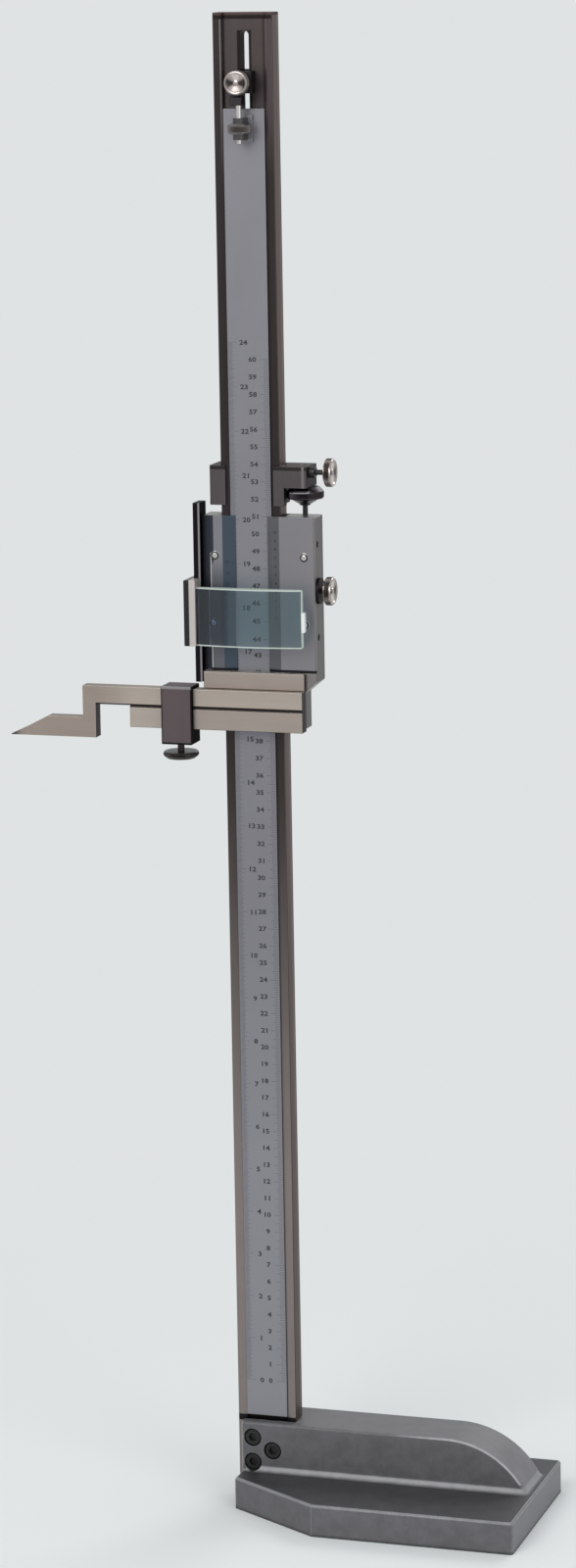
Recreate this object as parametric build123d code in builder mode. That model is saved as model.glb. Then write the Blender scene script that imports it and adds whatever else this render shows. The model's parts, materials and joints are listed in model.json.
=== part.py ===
from build123d import *
import math
import os

# Vernier height gauge, 600 mm / 24 in.
#
# Millimetres, +Z up. The origin lies on the ground bottom face of the base, under the column
# axis. The scale faces -Y, the scriber points to -X and the base reaches out to +X.
# The slider stands at `reading`, the height of the scriber's measuring face above the table.

os.makedirs("parts", exist_ok=True)

# ---------------------------------------------------------------------------------------------
# Driving dimensions
# ---------------------------------------------------------------------------------------------

# Fits
sliding_gap = 0.1  # between flat faces that slide on each other
running_gap = 0.05  # radial, round spindles and screws that turn
seat_gap = 0.05  # between flat faces that are clamped together
screw_gap = 0.1  # radial, round fixing screws in their holes

# Column: a flat bar with a groove for the scale down its front
column_width = 35.0
column_depth = 12.2
column_top = 868.0
flange_width = 5.2
flange_bevel_width = 2.0
flange_bevel_drop = 0.7
scale_thickness = 3.0
column_end_chamfer = 0.5
slot_width = 5.5
slot_end_wall = 10.2
slot_below_knob = 21.2

# Base casting
base_left = -14.0
base_right = 162.4
plate_thickness = 18.8
plate_front = -60.7
plate_back = 51.7
nose_front = -26.0  # the plate narrows to the left, between these two corners
nose_back = 38.5
nose_length = 57.0
plate_corner_radius = 2.0
plate_edge_chamfer = 1.0
rib_top = 48.0
rib_thickness = 35.4
rib_front_wall = 6.0
rib_flat_length = 124.0
rib_arc_radius = 54.0
rib_edge_radius = 1.5
rib_foot_radius = 4.0
pocket_floor = 12.0
relief_depth = 2.0
relief_left = 32.0
relief_right = 150.0
relief_margin = 14.0
relief_radius = 8.0

# Socket-head screws that hold the column in the base
column_screw_bore = 10.6
column_screw_bore_depth = 4.6
column_screw_head = 9.0
column_screw_head_height = 4.0
column_screw_shank = 6.0
column_screw_socket = 4.6
column_screw_socket_depth = 2.4
column_screw_bite = 7.0  # how far the shank reaches into the column
column_screw_left = -7.4
column_screw_right = 4.7
column_screw_drops = (9.1, 16.3, 23.8)  # below the rib's top

# Main scale
scale_foot_gap = 3.0
scale_end_drop = 54.0  # from the column's top down to the scale's

# Scale adjustment at the top: block, stud, knurled nut, bracket and clamp knob
anchor_width = 12.0
anchor_height = 12.5
anchor_front = -10.0
anchor_lift = 15.0  # clamp knob's axis above the scale's top
stud_diameter = 3.0
stud_y = -15.0
stud_overhang = 1.0
web_left = -5.0
web_right = -0.6
web_front = -14.0
ear_right = 2.0
ear_front = -17.0
ear_height = 4.8
ear_drop = 1.6
bracket_width = 11.0
bracket_plate = 1.9
bracket_drop = 18.5  # bracket's foot below the scale's top
bracket_height = 15.2
bracket_ear_lift = 1.5
bracket_ear_height = 2.8
bracket_ear_width = 6.8
adjust_wheel_diameter = 13.2
adjust_wheel_height = 6.2
adjust_wheel_play = 0.2
clamp_knob_diameter = 14.3
clamp_knob_thickness = 5.0
clamp_knob_front = -20.4
clamp_knob_neck = 7.6
clamp_screw_shank = 4.0
clamp_nut_width = 14.0
clamp_nut_height = 13.5
clamp_nut_thickness = 3.2
bracket_screw_head = 3.2
bracket_screw_head_height = 1.2
bracket_screw_shank = 2.0
bracket_screw_bite = 2.0
bracket_screw_pitch = 7.0

# Slider
reading = 452.4
slider_left = -29.2
slider_right = 38.2
slider_height = 123.1
slider_neck_right = 29.8
slider_neck_height = 21.1
slider_slope_height = 7.0
front_plate_thickness = 2.1
back_plate_thickness = 2.4
gib_thickness = 2.1
gib_width = 11.0
gib_end_gap = 1.5
edge_chamfer = 0.4

# Vernier plates: flat wings with a bevel that runs down to the scale
vernier_window = 19.1
vernier_edge = 0.3
plate_edge_break = 0.7
vernier_flat_width = 7.45
vernier_bevel_width = 7.45
inch_plate_left = -24.2
vernier_screw_head = 5.2
vernier_screw_head_height = 0.9
vernier_screw_shank = 2.6
vernier_screw_bite = 4.5
vernier_screw_drop = 23.0  # below the slider's top
vernier_screw_lift = 28.0  # above the plates' foot
inch_screw_x = -21.3
metric_screw_x = 32.0

# Jaw, upper bar and scriber
jaw_lift = 7.0  # underside of the jaw above the scriber's measuring face
jaw_left = -72.2
jaw_right = 31.8
jaw_height = 12.5
jaw_depth = 8.1
shank_height = 10.75
scriber_left = -101.0
scriber_leg_width = 7.8
scriber_point = -145.5
scriber_bevel_left = -122.8
scriber_foot_height = 11.7
scriber_corner_radius = 0.8
carbide_length = 10.0
carbide_point_height = 0.4
upper_bar_left = -28.8
upper_bar_right = 31.8
upper_bar_depth = 2.7
upper_bar_height = 9.9
ground_chamfer = 0.3
joint_chamfer = 1.0  # along the front, where the jaw and the shank meet

# Scriber clamp
clamp_left = -52.0
clamp_width = 18.5
clamp_front_wall = 3.4
clamp_back_wall = 3.2
clamp_top_wall = 1.7
clamp_bottom_wall = 8.5
clamp_pad_diameter = 7.0
clamp_pad_thickness = 2.0
clamp_spindle = 4.0
clamp_spindle_reach = 4.8
clamp_wheel_diameter = 20.6
clamp_wheel_thickness = 4.0
clamp_wheel_chamfer = 1.5

# Fine-feed carrier above the slider
carrier_gap = 6.2
carrier_height = 22.6
carrier_left = -24.0
carrier_right = 34.2
carrier_back_wall = 6.3
carrier_window = 28.6
carrier_corner_radius = 1.5
feed_x = 29.4
feed_y = 4.0
feed_notch_height = 10.5
feed_notch_left = 20.6
feed_notch_front = -3.0
feed_screw_diameter = 3.0
feed_screw_bottom_depth = 22.0
feed_screw_top_drop = 0.5
feed_wheel_diameter = 21.8
feed_wheel_thickness = 6.8
feed_wheel_bevel = 2.4
feed_wheel_cone_diameter = 17.0
feed_wheel_cone_height = 3.2
feed_wheel_hub = 6.4
feed_wheel_hub_height = 0.6
feed_journal_diameter = 4.4
feed_wheel_play = 0.4
retainer_diameter = 6.2
retainer_thickness = 1.2

# Clamp screws of the carrier and the slider, both along X against the column's edge
side_screw_diameter = 3.0
side_knob_diameter = 16.4
side_knob_thickness = 4.7
carrier_screw_y = -1.5
carrier_screw_drop = 3.5
carrier_knob_reach = 9.6
carrier_collar_diameter = 6.4
carrier_collar_length = 3.4
slider_screw_drop = 43.0
slider_knob_reach = 4.1
side_washer_diameter = 15.0
side_washer_thickness = 1.2
shoe_thickness = 2.0
shoe_width = 7.0
shoe_height = 6.6

# Magnifier
rail_thickness = 4.0
rail_front = -12.0
rail_depth = 12.0
rail_bottom_gap = 27.1
rail_length = 103.4
slide_height = 38.0
slide_lift = 49.1  # above the slider's foot
slide_front = -21.0
slide_web_width = 3.7
slide_gap = 0.2
side_plate_thickness = 3.3
side_hook_depth = 1.3
side_hook_width = 2.2
lens_left_seat = 1.5
lens_right = 33.2
lens_height = 33.6
lens_lift = 0.1
lens_back = -15.5
lens_edge = 2.5
lens_bulge = 4.0
lens_corner_radius = 1.0
lens_slot_room = 1.2
grip_width = 1.7
grip_height = 11.5
grip_lift = 9.3
grip_depth = 3.4

# Small fixing screws
gib_screw_diameter = 4.0
gib_screw_sink = 1.0
gib_screw_y = -2.0
gib_screw_drop = 16.0  # below the slider's top
gib_screw_lift = 53.6  # above the slider's foot
back_screw_shank = 4.0
back_screw_head = 7.0
back_screw_head_height = 1.6
back_screw_length = 7.6
back_screw_left = -23.5
back_screw_right = 34.0
back_screw_inner_right = 24.8
back_screw_drop = 10.5  # below the slider's top
back_screw_lift = 45.6  # above the slider's foot
jaw_screw_bite = 5.0
bar_screw_bite = 2.0
rail_screw_head = 5.0
rail_screw_head_height = 2.0
rail_screw_shank = 3.0
rail_screw_bite = 6.0
rail_screw_y = -3.0
rail_screw_drop = 14.9  # below the rail's top
rail_screw_lift = 13.5  # above the rail's foot
slide_screw_head = 4.0
slide_screw_head_height = 1.2
slide_screw_shank = 2.5
slide_screw_bite = 1.8
slide_screw_inset = 7.0
slide_screw_y = -13.8

# ---------------------------------------------------------------------------------------------
# Sizes worked out from them
# ---------------------------------------------------------------------------------------------

half_column = column_width / 2
column_front = -column_depth / 2
column_back = column_depth / 2
groove_half = half_column - flange_width
scale_half = groove_half - sliding_gap
scale_back = column_front + scale_thickness
groove_floor = scale_back + seat_gap
scale_bottom = rib_top + scale_foot_gap
scale_top = column_top - scale_end_drop
scale_length = scale_top - scale_bottom

rib_front = column_front - seat_gap - rib_front_wall
rib_back = rib_front + rib_thickness
rib_flat_end = base_left + rib_flat_length
rib_arc_centre_z = rib_top - rib_arc_radius
rib_arc_run = math.sqrt(rib_arc_radius**2 - (plate_thickness - rib_arc_centre_z) ** 2)

anchor_knob_height = scale_top + anchor_lift
slot_top = column_top - slot_end_wall
slot_bottom = anchor_knob_height - slot_below_knob
slot_length = slot_top - slot_bottom
anchor_bottom = anchor_knob_height - anchor_height / 2
ear_top = anchor_bottom - ear_drop
ear_bottom = ear_top - ear_height
bracket_face = column_front - bracket_plate
bracket_bottom = scale_top - bracket_drop
bracket_top = bracket_bottom + bracket_height
low_ear_bottom = bracket_bottom + bracket_ear_lift
wheel_bottom = low_ear_bottom + bracket_ear_height + adjust_wheel_play
wheel_top = wheel_bottom + adjust_wheel_height
high_ear_bottom = wheel_top + adjust_wheel_play
wheel_middle = (wheel_bottom + wheel_top) / 2

jaw_bottom = reading + jaw_lift
jaw_top = jaw_bottom + jaw_height
shank_bottom = jaw_top + seat_gap
shank_top = shank_bottom + shank_height
upper_bar_bottom = shank_top + sliding_gap
upper_bar_top = upper_bar_bottom + upper_bar_height
slider_bottom = jaw_bottom
slider_top = slider_bottom + slider_height
slider_step = upper_bar_top + sliding_gap
slider_screw_height = slider_top - slider_screw_drop
gib_screw_high = slider_top - gib_screw_drop
gib_screw_low = slider_bottom + gib_screw_lift
back_screw_high = slider_top - back_screw_drop
back_screw_low = slider_bottom + back_screw_lift
vernier_screw_high = slider_top - vernier_screw_drop
vernier_screw_low = slider_step + vernier_screw_lift
plate_back_face = column_front - sliding_gap
slider_front = plate_back_face - front_plate_thickness
slider_back = column_back + sliding_gap
back_face = slider_back + back_plate_thickness
channel_left = -half_column - sliding_gap
gib_left = half_column + seat_gap
gib_right = gib_left + gib_thickness
channel_right = gib_right + sliding_gap
jaw_front = slider_front - jaw_depth
plate_screw_tip = back_face - back_screw_length
scriber_back = slider_front - sliding_gap

carrier_bottom = slider_top + carrier_gap
carrier_top = carrier_bottom + carrier_height
carrier_front = slider_front
carrier_back = slider_back + carrier_back_wall
carrier_screw_z = carrier_top - carrier_screw_drop
notch_top = carrier_bottom + feed_notch_height
feed_wheel_top = notch_top - feed_wheel_play
feed_wheel_bottom = feed_wheel_top - feed_wheel_thickness
feed_cone_bottom = feed_wheel_bottom - feed_wheel_cone_height
feed_hub_bottom = feed_cone_bottom - feed_wheel_hub_height
retainer_bottom = carrier_top - retainer_thickness
feed_screw_bottom = slider_top - feed_screw_bottom_depth
feed_screw_length = carrier_top - feed_screw_top_drop - feed_screw_bottom
shoe_left = half_column + seat_gap
shoe_right = shoe_left + shoe_thickness

clamp_right = clamp_left + clamp_width
clamp_inner_front = jaw_front - sliding_gap
clamp_inner_back = slider_front + sliding_gap
clamp_front = clamp_inner_front - clamp_front_wall
clamp_back = clamp_inner_back + clamp_back_wall
clamp_inner_bottom = jaw_bottom - sliding_gap
clamp_inner_top = shank_top + sliding_gap
clamp_bottom = clamp_inner_bottom - clamp_bottom_wall
clamp_top = clamp_inner_top + clamp_top_wall
clamp_centre_x = (clamp_left + clamp_right) / 2
clamp_centre_y = (clamp_front + clamp_back) / 2

rail_right = slider_left
rail_left = rail_right - rail_thickness
rail_bottom = slider_bottom + rail_bottom_gap
rail_screw_high = rail_bottom + rail_length - rail_screw_drop
rail_screw_low = rail_bottom + rail_screw_lift
slide_bottom = slider_bottom + slide_lift
rail_back = rail_front + rail_depth
rail_screw_tip = rail_right + rail_screw_bite
slide_top = slide_bottom + slide_height
side_plate_right = rail_left - slide_gap
side_plate_left = side_plate_right - side_plate_thickness
slide_web_right = side_plate_right + slide_web_width
slide_web_back = rail_front - slide_gap
lens_left = slide_web_right - lens_left_seat
lens_bottom = slide_bottom + lens_lift
lens_top = lens_bottom + lens_height
lens_front_edge = lens_back - lens_edge


def across(y):
    """Plane that looks along +Y at depth y; a sketch on it grows towards -Y."""
    return Plane.XZ.offset(-y)


def side(x):
    """Plane that faces +X at x; a sketch on it grows towards +X."""
    return Plane.YZ.offset(x)


def rectangle_between(left, right, low, high, mode=Mode.ADD):
    """Rectangle given by its four sides, in the sketch that is open."""
    with Locations(((left + right) / 2, (low + high) / 2)):
        Rectangle(right - left, high - low, mode=mode)


def rods(plane, places, diameter, length, mode=Mode.ADD):
    """Round rods, or holes when subtracted, that start on a plane and run along its normal."""
    with BuildSketch(plane) as ends:
        with Locations(*places):
            Circle(diameter / 2)
    extrude(ends.sketch, amount=length, mode=mode)


def holes(plane, places, diameter, depth):
    """Round holes that start on a plane and run against its normal."""
    rods(plane, places, diameter, -depth, mode=Mode.SUBTRACT)


# ---------------------------------------------------------------------------------------------
# Base and column
# ---------------------------------------------------------------------------------------------

column_screw_places = [
    (column_screw_left, rib_top - column_screw_drops[0]),
    (column_screw_right, rib_top - column_screw_drops[1]),
    (column_screw_left, rib_top - column_screw_drops[2]),
]

with BuildPart() as base:
    with BuildSketch():
        with BuildLine():
            Polyline(
                (base_left, nose_front),
                (base_left + nose_length, plate_front),
                (base_right, plate_front),
                (base_right, plate_back),
                (base_left + nose_length, plate_back),
                (base_left, nose_back),
                close=True,
            )
        make_face()
        fillet(vertices().group_by(Axis.X)[-1], plate_corner_radius)
    extrude(amount=plate_thickness)
    chamfer(faces().sort_by(Axis.Z)[-1].edges(), plate_edge_chamfer)
    # rib: flat top, then an arc that runs down to the plate
    with BuildSketch(across(rib_back)):
        with BuildLine():
            Line((base_left, plate_thickness / 2), (base_left, rib_top))
            Line((base_left, rib_top), (rib_flat_end, rib_top))
            RadiusArc(
                (rib_flat_end, rib_top),
                (rib_flat_end + rib_arc_run, plate_thickness),
                rib_arc_radius,
            )
            Line(
                (rib_flat_end + rib_arc_run, plate_thickness),
                (rib_flat_end + rib_arc_run, plate_thickness / 2),
            )
            Line((rib_flat_end + rib_arc_run, plate_thickness / 2), (base_left, plate_thickness / 2))
        make_face()
    extrude(amount=rib_thickness)
    rib_rim = edges().filter_by_position(
        Axis.Z, plate_thickness + plate_edge_chamfer / 4, rib_top
    )
    fillet(rib_rim.filter_by(Axis.X) + rib_rim.filter_by(GeomType.CIRCLE), rib_edge_radius)
    rib_foot = edges().filter_by_position(
        Axis.Z, plate_thickness - plate_edge_chamfer / 4, plate_thickness + plate_edge_chamfer / 4
    )
    rib_foot = rib_foot.filter_by_position(
        Axis.Y, rib_front - rib_edge_radius, rib_back + rib_edge_radius
    )
    fillet(rib_foot.filter_by(Axis.X), rib_foot_radius)
    # pocket for the column, open to the left end
    with BuildSketch(Plane.XY.offset(pocket_floor)):
        rectangle_between(
            base_left - rib_edge_radius,
            half_column + seat_gap,
            column_front - seat_gap,
            column_back + seat_gap,
        )
    extrude(amount=rib_top, mode=Mode.SUBTRACT)
    # relief under the plate leaves a ground rim to stand on
    with BuildSketch():
        rectangle_between(
            relief_left, relief_right, plate_front + relief_margin, plate_back - relief_margin
        )
        fillet(vertices(), relief_radius)
    extrude(amount=relief_depth, mode=Mode.SUBTRACT)
    with Locations(across(rib_front)):
        with Locations(*column_screw_places):
            CounterBoreHole(
                radius=column_screw_shank / 2 + screw_gap,
                counter_bore_radius=column_screw_bore / 2,
                counter_bore_depth=column_screw_bore_depth,
                depth=rib_front_wall + seat_gap,
            )
base.part.label = "base"
export_step(base.part, "parts/base.step")

with BuildPart() as column:
    with BuildSketch(Plane.XY.offset(pocket_floor)):
        rectangle_between(-half_column, half_column, column_front, column_back)
        rectangle_between(
            -groove_half, groove_half, column_front, groove_floor, mode=Mode.SUBTRACT
        )
        # each flange falls away a little towards the groove
        for direction in (-1, 1):
            with BuildLine():
                Polyline(
                    (direction * groove_half, column_front),
                    (direction * (groove_half + flange_bevel_width), column_front),
                    (direction * groove_half, column_front + flange_bevel_drop),
                    close=True,
                )
            make_face(mode=Mode.SUBTRACT)
    extrude(amount=column_top - pocket_floor)
    chamfer(faces().sort_by(Axis.Z)[-1].edges().sort_by(Axis.Y)[-1], column_end_chamfer)
    with BuildSketch(across(column_back)):
        with Locations((0, (slot_top + slot_bottom) / 2)):
            SlotCenterToCenter(slot_length - slot_width, slot_width, rotation=90)
    extrude(amount=column_depth, mode=Mode.SUBTRACT)
    with BuildSketch(across(groove_floor + column_screw_bite)):
        with Locations(*column_screw_places):
            Circle(column_screw_shank / 2 + screw_gap)
    extrude(amount=column_screw_bite, mode=Mode.SUBTRACT)
column.part.label = "column"
export_step(column.part, "parts/column.step")

with BuildPart() as column_screws:
    head_back = rib_front + column_screw_bore_depth
    with BuildSketch(across(head_back)):
        with Locations(*column_screw_places):
            Circle(column_screw_head / 2)
    extrude(amount=column_screw_head_height)
    with BuildSketch(across(head_back - column_screw_head_height + column_screw_socket_depth)):
        with Locations(*column_screw_places):
            RegularPolygon(column_screw_socket / 2, 6, major_radius=False)
    extrude(amount=column_screw_socket_depth, mode=Mode.SUBTRACT)
    with BuildSketch(across(groove_floor + column_screw_bite)):
        with Locations(*column_screw_places):
            Circle(column_screw_shank / 2)
    extrude(amount=groove_floor + column_screw_bite - head_back)
column_screws.part.label = "column_screws"
export_step(column_screws.part, "parts/column_screws.step")

# ---------------------------------------------------------------------------------------------
# Main scale and its adjustment at the top of the column
# ---------------------------------------------------------------------------------------------

knob_place = [(0, anchor_knob_height)]
stud_place = [(0, stud_y)]
bracket_screw_places = [
    (-bracket_screw_pitch / 2, wheel_middle),
    (bracket_screw_pitch / 2, wheel_middle),
]

with BuildPart() as scale_anchor:
    # block in the column's groove
    with BuildSketch(Plane.XY.offset(anchor_bottom)):
        rectangle_between(-anchor_width / 2, anchor_width / 2, anchor_front, scale_back)
    extrude(amount=anchor_height)
    # web and ear that hold the stud
    with BuildSketch(Plane.XY.offset(ear_bottom)):
        rectangle_between(web_left, web_right, web_front, scale_back)
    extrude(amount=ear_height + ear_drop)
    with BuildSketch(Plane.XY.offset(ear_bottom)):
        rectangle_between(web_left, ear_right, ear_front, anchor_front)
    extrude(amount=ear_height)
    holes(Plane.XY.offset(ear_top), stud_place, stud_diameter + 2 * running_gap, ear_height)
    holes(
        across(anchor_front),
        knob_place,
        clamp_screw_shank + 2 * running_gap,
        scale_back - anchor_front,
    )
    chamfer(faces().sort_by(Axis.Y)[0].edges(), edge_chamfer)
scale_anchor.part.label = "scale_anchor"
export_step(scale_anchor.part, "parts/scale_anchor.step")

with BuildPart() as scale_stud:
    stud_bottom = bracket_bottom - stud_overhang
    rods(Plane.XY.offset(stud_bottom), stud_place, stud_diameter, ear_top - stud_bottom)
    chamfer(edges().sort_by(Axis.Z)[0], edge_chamfer)
scale_stud.part.label = "scale_stud"
export_step(scale_stud.part, "parts/scale_stud.step")

with BuildPart() as scale_clamp_nut:
    nut_back = column_back + sliding_gap + clamp_nut_thickness
    with BuildSketch(across(nut_back)):
        with Locations(*knob_place):
            Rectangle(clamp_nut_width, clamp_nut_height)
    extrude(amount=clamp_nut_thickness)
    holes(
        across(nut_back - clamp_nut_thickness),
        knob_place,
        clamp_screw_shank + 2 * running_gap,
        clamp_nut_thickness,
    )
    chamfer(faces().sort_by(Axis.Y)[-1].edges(), edge_chamfer)
scale_clamp_nut.part.label = "scale_clamp_nut"
export_step(scale_clamp_nut.part, "parts/scale_clamp_nut.step")

with BuildPart() as scale_clamp_screw:
    knob_back = clamp_knob_front + clamp_knob_thickness
    rods(across(knob_back), knob_place, clamp_knob_diameter, clamp_knob_thickness)
    chamfer(edges().filter_by(GeomType.CIRCLE), edge_chamfer)
    neck_back = anchor_front - sliding_gap
    rods(across(neck_back), knob_place, clamp_knob_neck, neck_back - knob_back)
    rods(across(nut_back), knob_place, clamp_screw_shank, nut_back - neck_back)
scale_clamp_screw.part.label = "scale_clamp_screw"
export_step(scale_clamp_screw.part, "parts/scale_clamp_screw.step")

with BuildPart() as main_scale:
    with BuildSketch(Plane.XY.offset(scale_bottom)):
        rectangle_between(-scale_half, scale_half, column_front, scale_back)
    extrude(amount=scale_length)
    holes(
        across(column_front),
        bracket_screw_places,
        bracket_screw_shank + 2 * running_gap,
        bracket_screw_bite,
    )
main_scale.part.label = "main_scale"
export_step(main_scale.part, "parts/main_scale.step")

with BuildPart() as scale_bracket:
    with BuildSketch(across(column_front)):
        rectangle_between(-bracket_width / 2, bracket_width / 2, bracket_bottom, bracket_top)
    extrude(amount=bracket_plate)
    for ear in (low_ear_bottom, high_ear_bottom):
        with BuildSketch(Plane.XY.offset(ear)):
            rectangle_between(-bracket_ear_width / 2, bracket_ear_width / 2, stud_y, bracket_face)
            with Locations(*stud_place):
                Circle(bracket_ear_width / 2)
                Circle(stud_diameter / 2 + screw_gap, mode=Mode.SUBTRACT)
        extrude(amount=bracket_ear_height)
    holes(
        across(bracket_face),
        bracket_screw_places,
        bracket_screw_head + 2 * running_gap,
        bracket_screw_head_height,
    )
    holes(
        across(bracket_face),
        bracket_screw_places,
        bracket_screw_shank + 2 * running_gap,
        bracket_plate,
    )
scale_bracket.part.label = "scale_bracket"
export_step(scale_bracket.part, "parts/scale_bracket.step")

with BuildPart() as scale_bracket_screws:
    head_seat = bracket_face + bracket_screw_head_height
    rods(across(head_seat), bracket_screw_places, bracket_screw_head, bracket_screw_head_height)
    bracket_screw_tip = column_front + bracket_screw_bite
    rods(
        across(bracket_screw_tip),
        bracket_screw_places,
        bracket_screw_shank,
        bracket_screw_tip - head_seat,
    )
scale_bracket_screws.part.label = "scale_bracket_screws"
export_step(scale_bracket_screws.part, "parts/scale_bracket_screws.step")

with BuildPart() as scale_adjust_wheel:
    rods(
        Plane.XY.offset(wheel_bottom), stud_place, adjust_wheel_diameter, adjust_wheel_height
    )
    chamfer(edges().filter_by(GeomType.CIRCLE), edge_chamfer)
    holes(
        Plane.XY.offset(wheel_top),
        stud_place,
        stud_diameter + 2 * running_gap,
        adjust_wheel_height,
    )
scale_adjust_wheel.part.label = "scale_adjust_wheel"
export_step(scale_adjust_wheel.part, "parts/scale_adjust_wheel.step")

# ---------------------------------------------------------------------------------------------
# Slider: a body that hooks round the front and sides of the column, closed by a back plate
# ---------------------------------------------------------------------------------------------

slider_outline = [
    (slider_left, slider_bottom),
    (slider_neck_right, slider_bottom),
    (slider_neck_right, slider_bottom + slider_neck_height),
    (slider_right, slider_bottom + slider_neck_height + slider_slope_height),
    (slider_right, slider_top),
    (slider_left, slider_top),
]
feed_place = [(feed_x, feed_y)]
feed_hole = feed_screw_diameter + 2 * running_gap
gib_screw_places = [(gib_screw_y, gib_screw_low), (gib_screw_y, gib_screw_high)]
slider_screw_place = [(0, slider_screw_height)]
jaw_screw_places = [
    (back_screw_left, (jaw_bottom + jaw_top) / 2),
    (back_screw_inner_right, (jaw_bottom + jaw_top) / 2),
]
bar_screw_places = [
    (back_screw_left, (upper_bar_bottom + upper_bar_top) / 2),
    (back_screw_inner_right, (upper_bar_bottom + upper_bar_top) / 2),
]
plate_screw_places = [
    (back_screw_left, back_screw_low),
    (back_screw_left, back_screw_high),
    (back_screw_right, back_screw_low),
    (back_screw_right, back_screw_high),
]
inch_screw_places = [(inch_screw_x, vernier_screw_low), (inch_screw_x, vernier_screw_high)]
metric_screw_places = [
    (metric_screw_x, vernier_screw_low),
    (metric_screw_x, vernier_screw_high),
]
rail_screw_places = [(rail_screw_y, rail_screw_low), (rail_screw_y, rail_screw_high)]
back_screw_hole = back_screw_shank + 2 * running_gap
vernier_screw_hole = vernier_screw_shank + 2 * running_gap
rail_screw_hole = rail_screw_shank + 2 * running_gap
side_screw_hole = side_screw_diameter + 2 * running_gap

with BuildPart() as slider_body:
    with BuildSketch(across(slider_back)):
        with BuildLine():
            Polyline(*slider_outline, close=True)
        make_face()
    extrude(amount=slider_back - slider_front)
    chamfer(edges().filter_by(Axis.Y), edge_chamfer)
    # channel for the column and the gib, open at the back
    with BuildSketch(Plane.XY.offset(slider_bottom)):
        rectangle_between(channel_left, channel_right, plate_back_face, slider_back)
    extrude(amount=slider_height, mode=Mode.SUBTRACT)
    # above the bars the front is open and the vernier plates stand on the two side walls
    with BuildSketch(Plane.XY.offset(slider_step)):
        rectangle_between(slider_left, slider_right, slider_front, plate_back_face)
    extrude(amount=slider_top - slider_step, mode=Mode.SUBTRACT)
    holes(Plane.XY.offset(slider_top), feed_place, feed_hole, feed_screw_bottom_depth)
    # gib screws and clamp screw from the right
    holes(
        side(slider_right),
        gib_screw_places,
        gib_screw_diameter + 2 * running_gap,
        slider_right - channel_right,
    )
    holes(
        side(slider_right), slider_screw_place, side_screw_hole, slider_right - channel_right
    )
    # screws of the bars and the back plate from behind, of the vernier plates from the front
    holes(
        across(slider_front),
        jaw_screw_places + bar_screw_places,
        back_screw_hole,
        slider_back - slider_front,
    )
    holes(across(plate_screw_tip), plate_screw_places, back_screw_hole, slider_back - plate_screw_tip)
    holes(
        across(plate_back_face),
        inch_screw_places + metric_screw_places,
        vernier_screw_hole,
        vernier_screw_bite - front_plate_thickness,
    )
    holes(
        side(rail_screw_tip),
        rail_screw_places,
        rail_screw_hole,
        rail_screw_tip - slider_left,
    )
slider_body.part.label = "slider_body"
export_step(slider_body.part, "parts/slider_body.step")

with BuildPart() as slider_back_plate:
    with BuildSketch(across(back_face)):
        with BuildLine():
            Polyline(*slider_outline, close=True)
        make_face()
    extrude(amount=back_plate_thickness)
    chamfer(edges().filter_by(Axis.Y), edge_chamfer)
    chamfer(faces().sort_by(Axis.Y)[-1].edges(), edge_chamfer)
    back_screws = jaw_screw_places + bar_screw_places + plate_screw_places
    holes(
        across(back_face - back_screw_head_height),
        back_screws,
        back_screw_head + 2 * screw_gap,
        back_screw_head_height,
    )
    holes(across(slider_back), back_screws, back_screw_hole, back_plate_thickness)
slider_back_plate.part.label = "slider_back_plate"
export_step(slider_back_plate.part, "parts/slider_back_plate.step")

with BuildPart() as back_plate_screws:
    rods(
        across(back_face), plate_screw_places, back_screw_head, back_screw_head_height
    )
    rods(
        across(back_face - back_screw_head_height),
        plate_screw_places,
        back_screw_shank,
        back_face - back_screw_head_height - plate_screw_tip,
    )
back_plate_screws.part.label = "back_plate_screws"
export_step(back_plate_screws.part, "parts/back_plate_screws.step")

with BuildPart() as bar_screws:
    rods(
        across(back_face),
        jaw_screw_places + bar_screw_places,
        back_screw_head,
        back_screw_head_height,
    )
    under_head = back_face - back_screw_head_height
    rods(
        across(under_head),
        jaw_screw_places,
        back_screw_shank,
        under_head - slider_front + jaw_screw_bite,
    )
    rods(
        across(under_head),
        bar_screw_places,
        back_screw_shank,
        under_head - slider_front + bar_screw_bite,
    )
bar_screws.part.label = "bar_screws"
export_step(bar_screws.part, "parts/bar_screws.step")

with BuildPart() as gib:
    with BuildSketch(Plane.XY.offset(slider_bottom + gib_end_gap)):
        rectangle_between(gib_left, gib_right, -gib_width / 2, gib_width / 2)
    extrude(amount=slider_height - 2 * gib_end_gap)
gib.part.label = "gib"
export_step(gib.part, "parts/gib.step")

with BuildPart() as gib_screws:
    rods(
        side(gib_right + sliding_gap),
        gib_screw_places,
        gib_screw_diameter,
        slider_right - gib_screw_sink - gib_right - sliding_gap,
    )
gib_screws.part.label = "gib_screws"
export_step(gib_screws.part, "parts/gib_screws.step")

inch_plate_right = inch_plate_left + vernier_flat_width + vernier_bevel_width
metric_plate_left = inch_plate_right + vernier_window
with BuildPart() as vernier_plate_inch:
    with BuildSketch(Plane.XY.offset(slider_step)):
        with BuildLine():
            Polyline(
                (inch_plate_left, plate_back_face),
                (inch_plate_left, slider_front),
                (inch_plate_left + vernier_flat_width, slider_front),
                (inch_plate_right, plate_back_face - vernier_edge),
                (inch_plate_right, plate_back_face),
                close=True,
            )
        make_face()
    extrude(amount=slider_top - slider_step)
    holes(
        across(slider_front), inch_screw_places, vernier_screw_hole, front_plate_thickness
    )
vernier_plate_inch.part.label = "vernier_plate_inch"
export_step(vernier_plate_inch.part, "parts/vernier_plate_inch.step")

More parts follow.
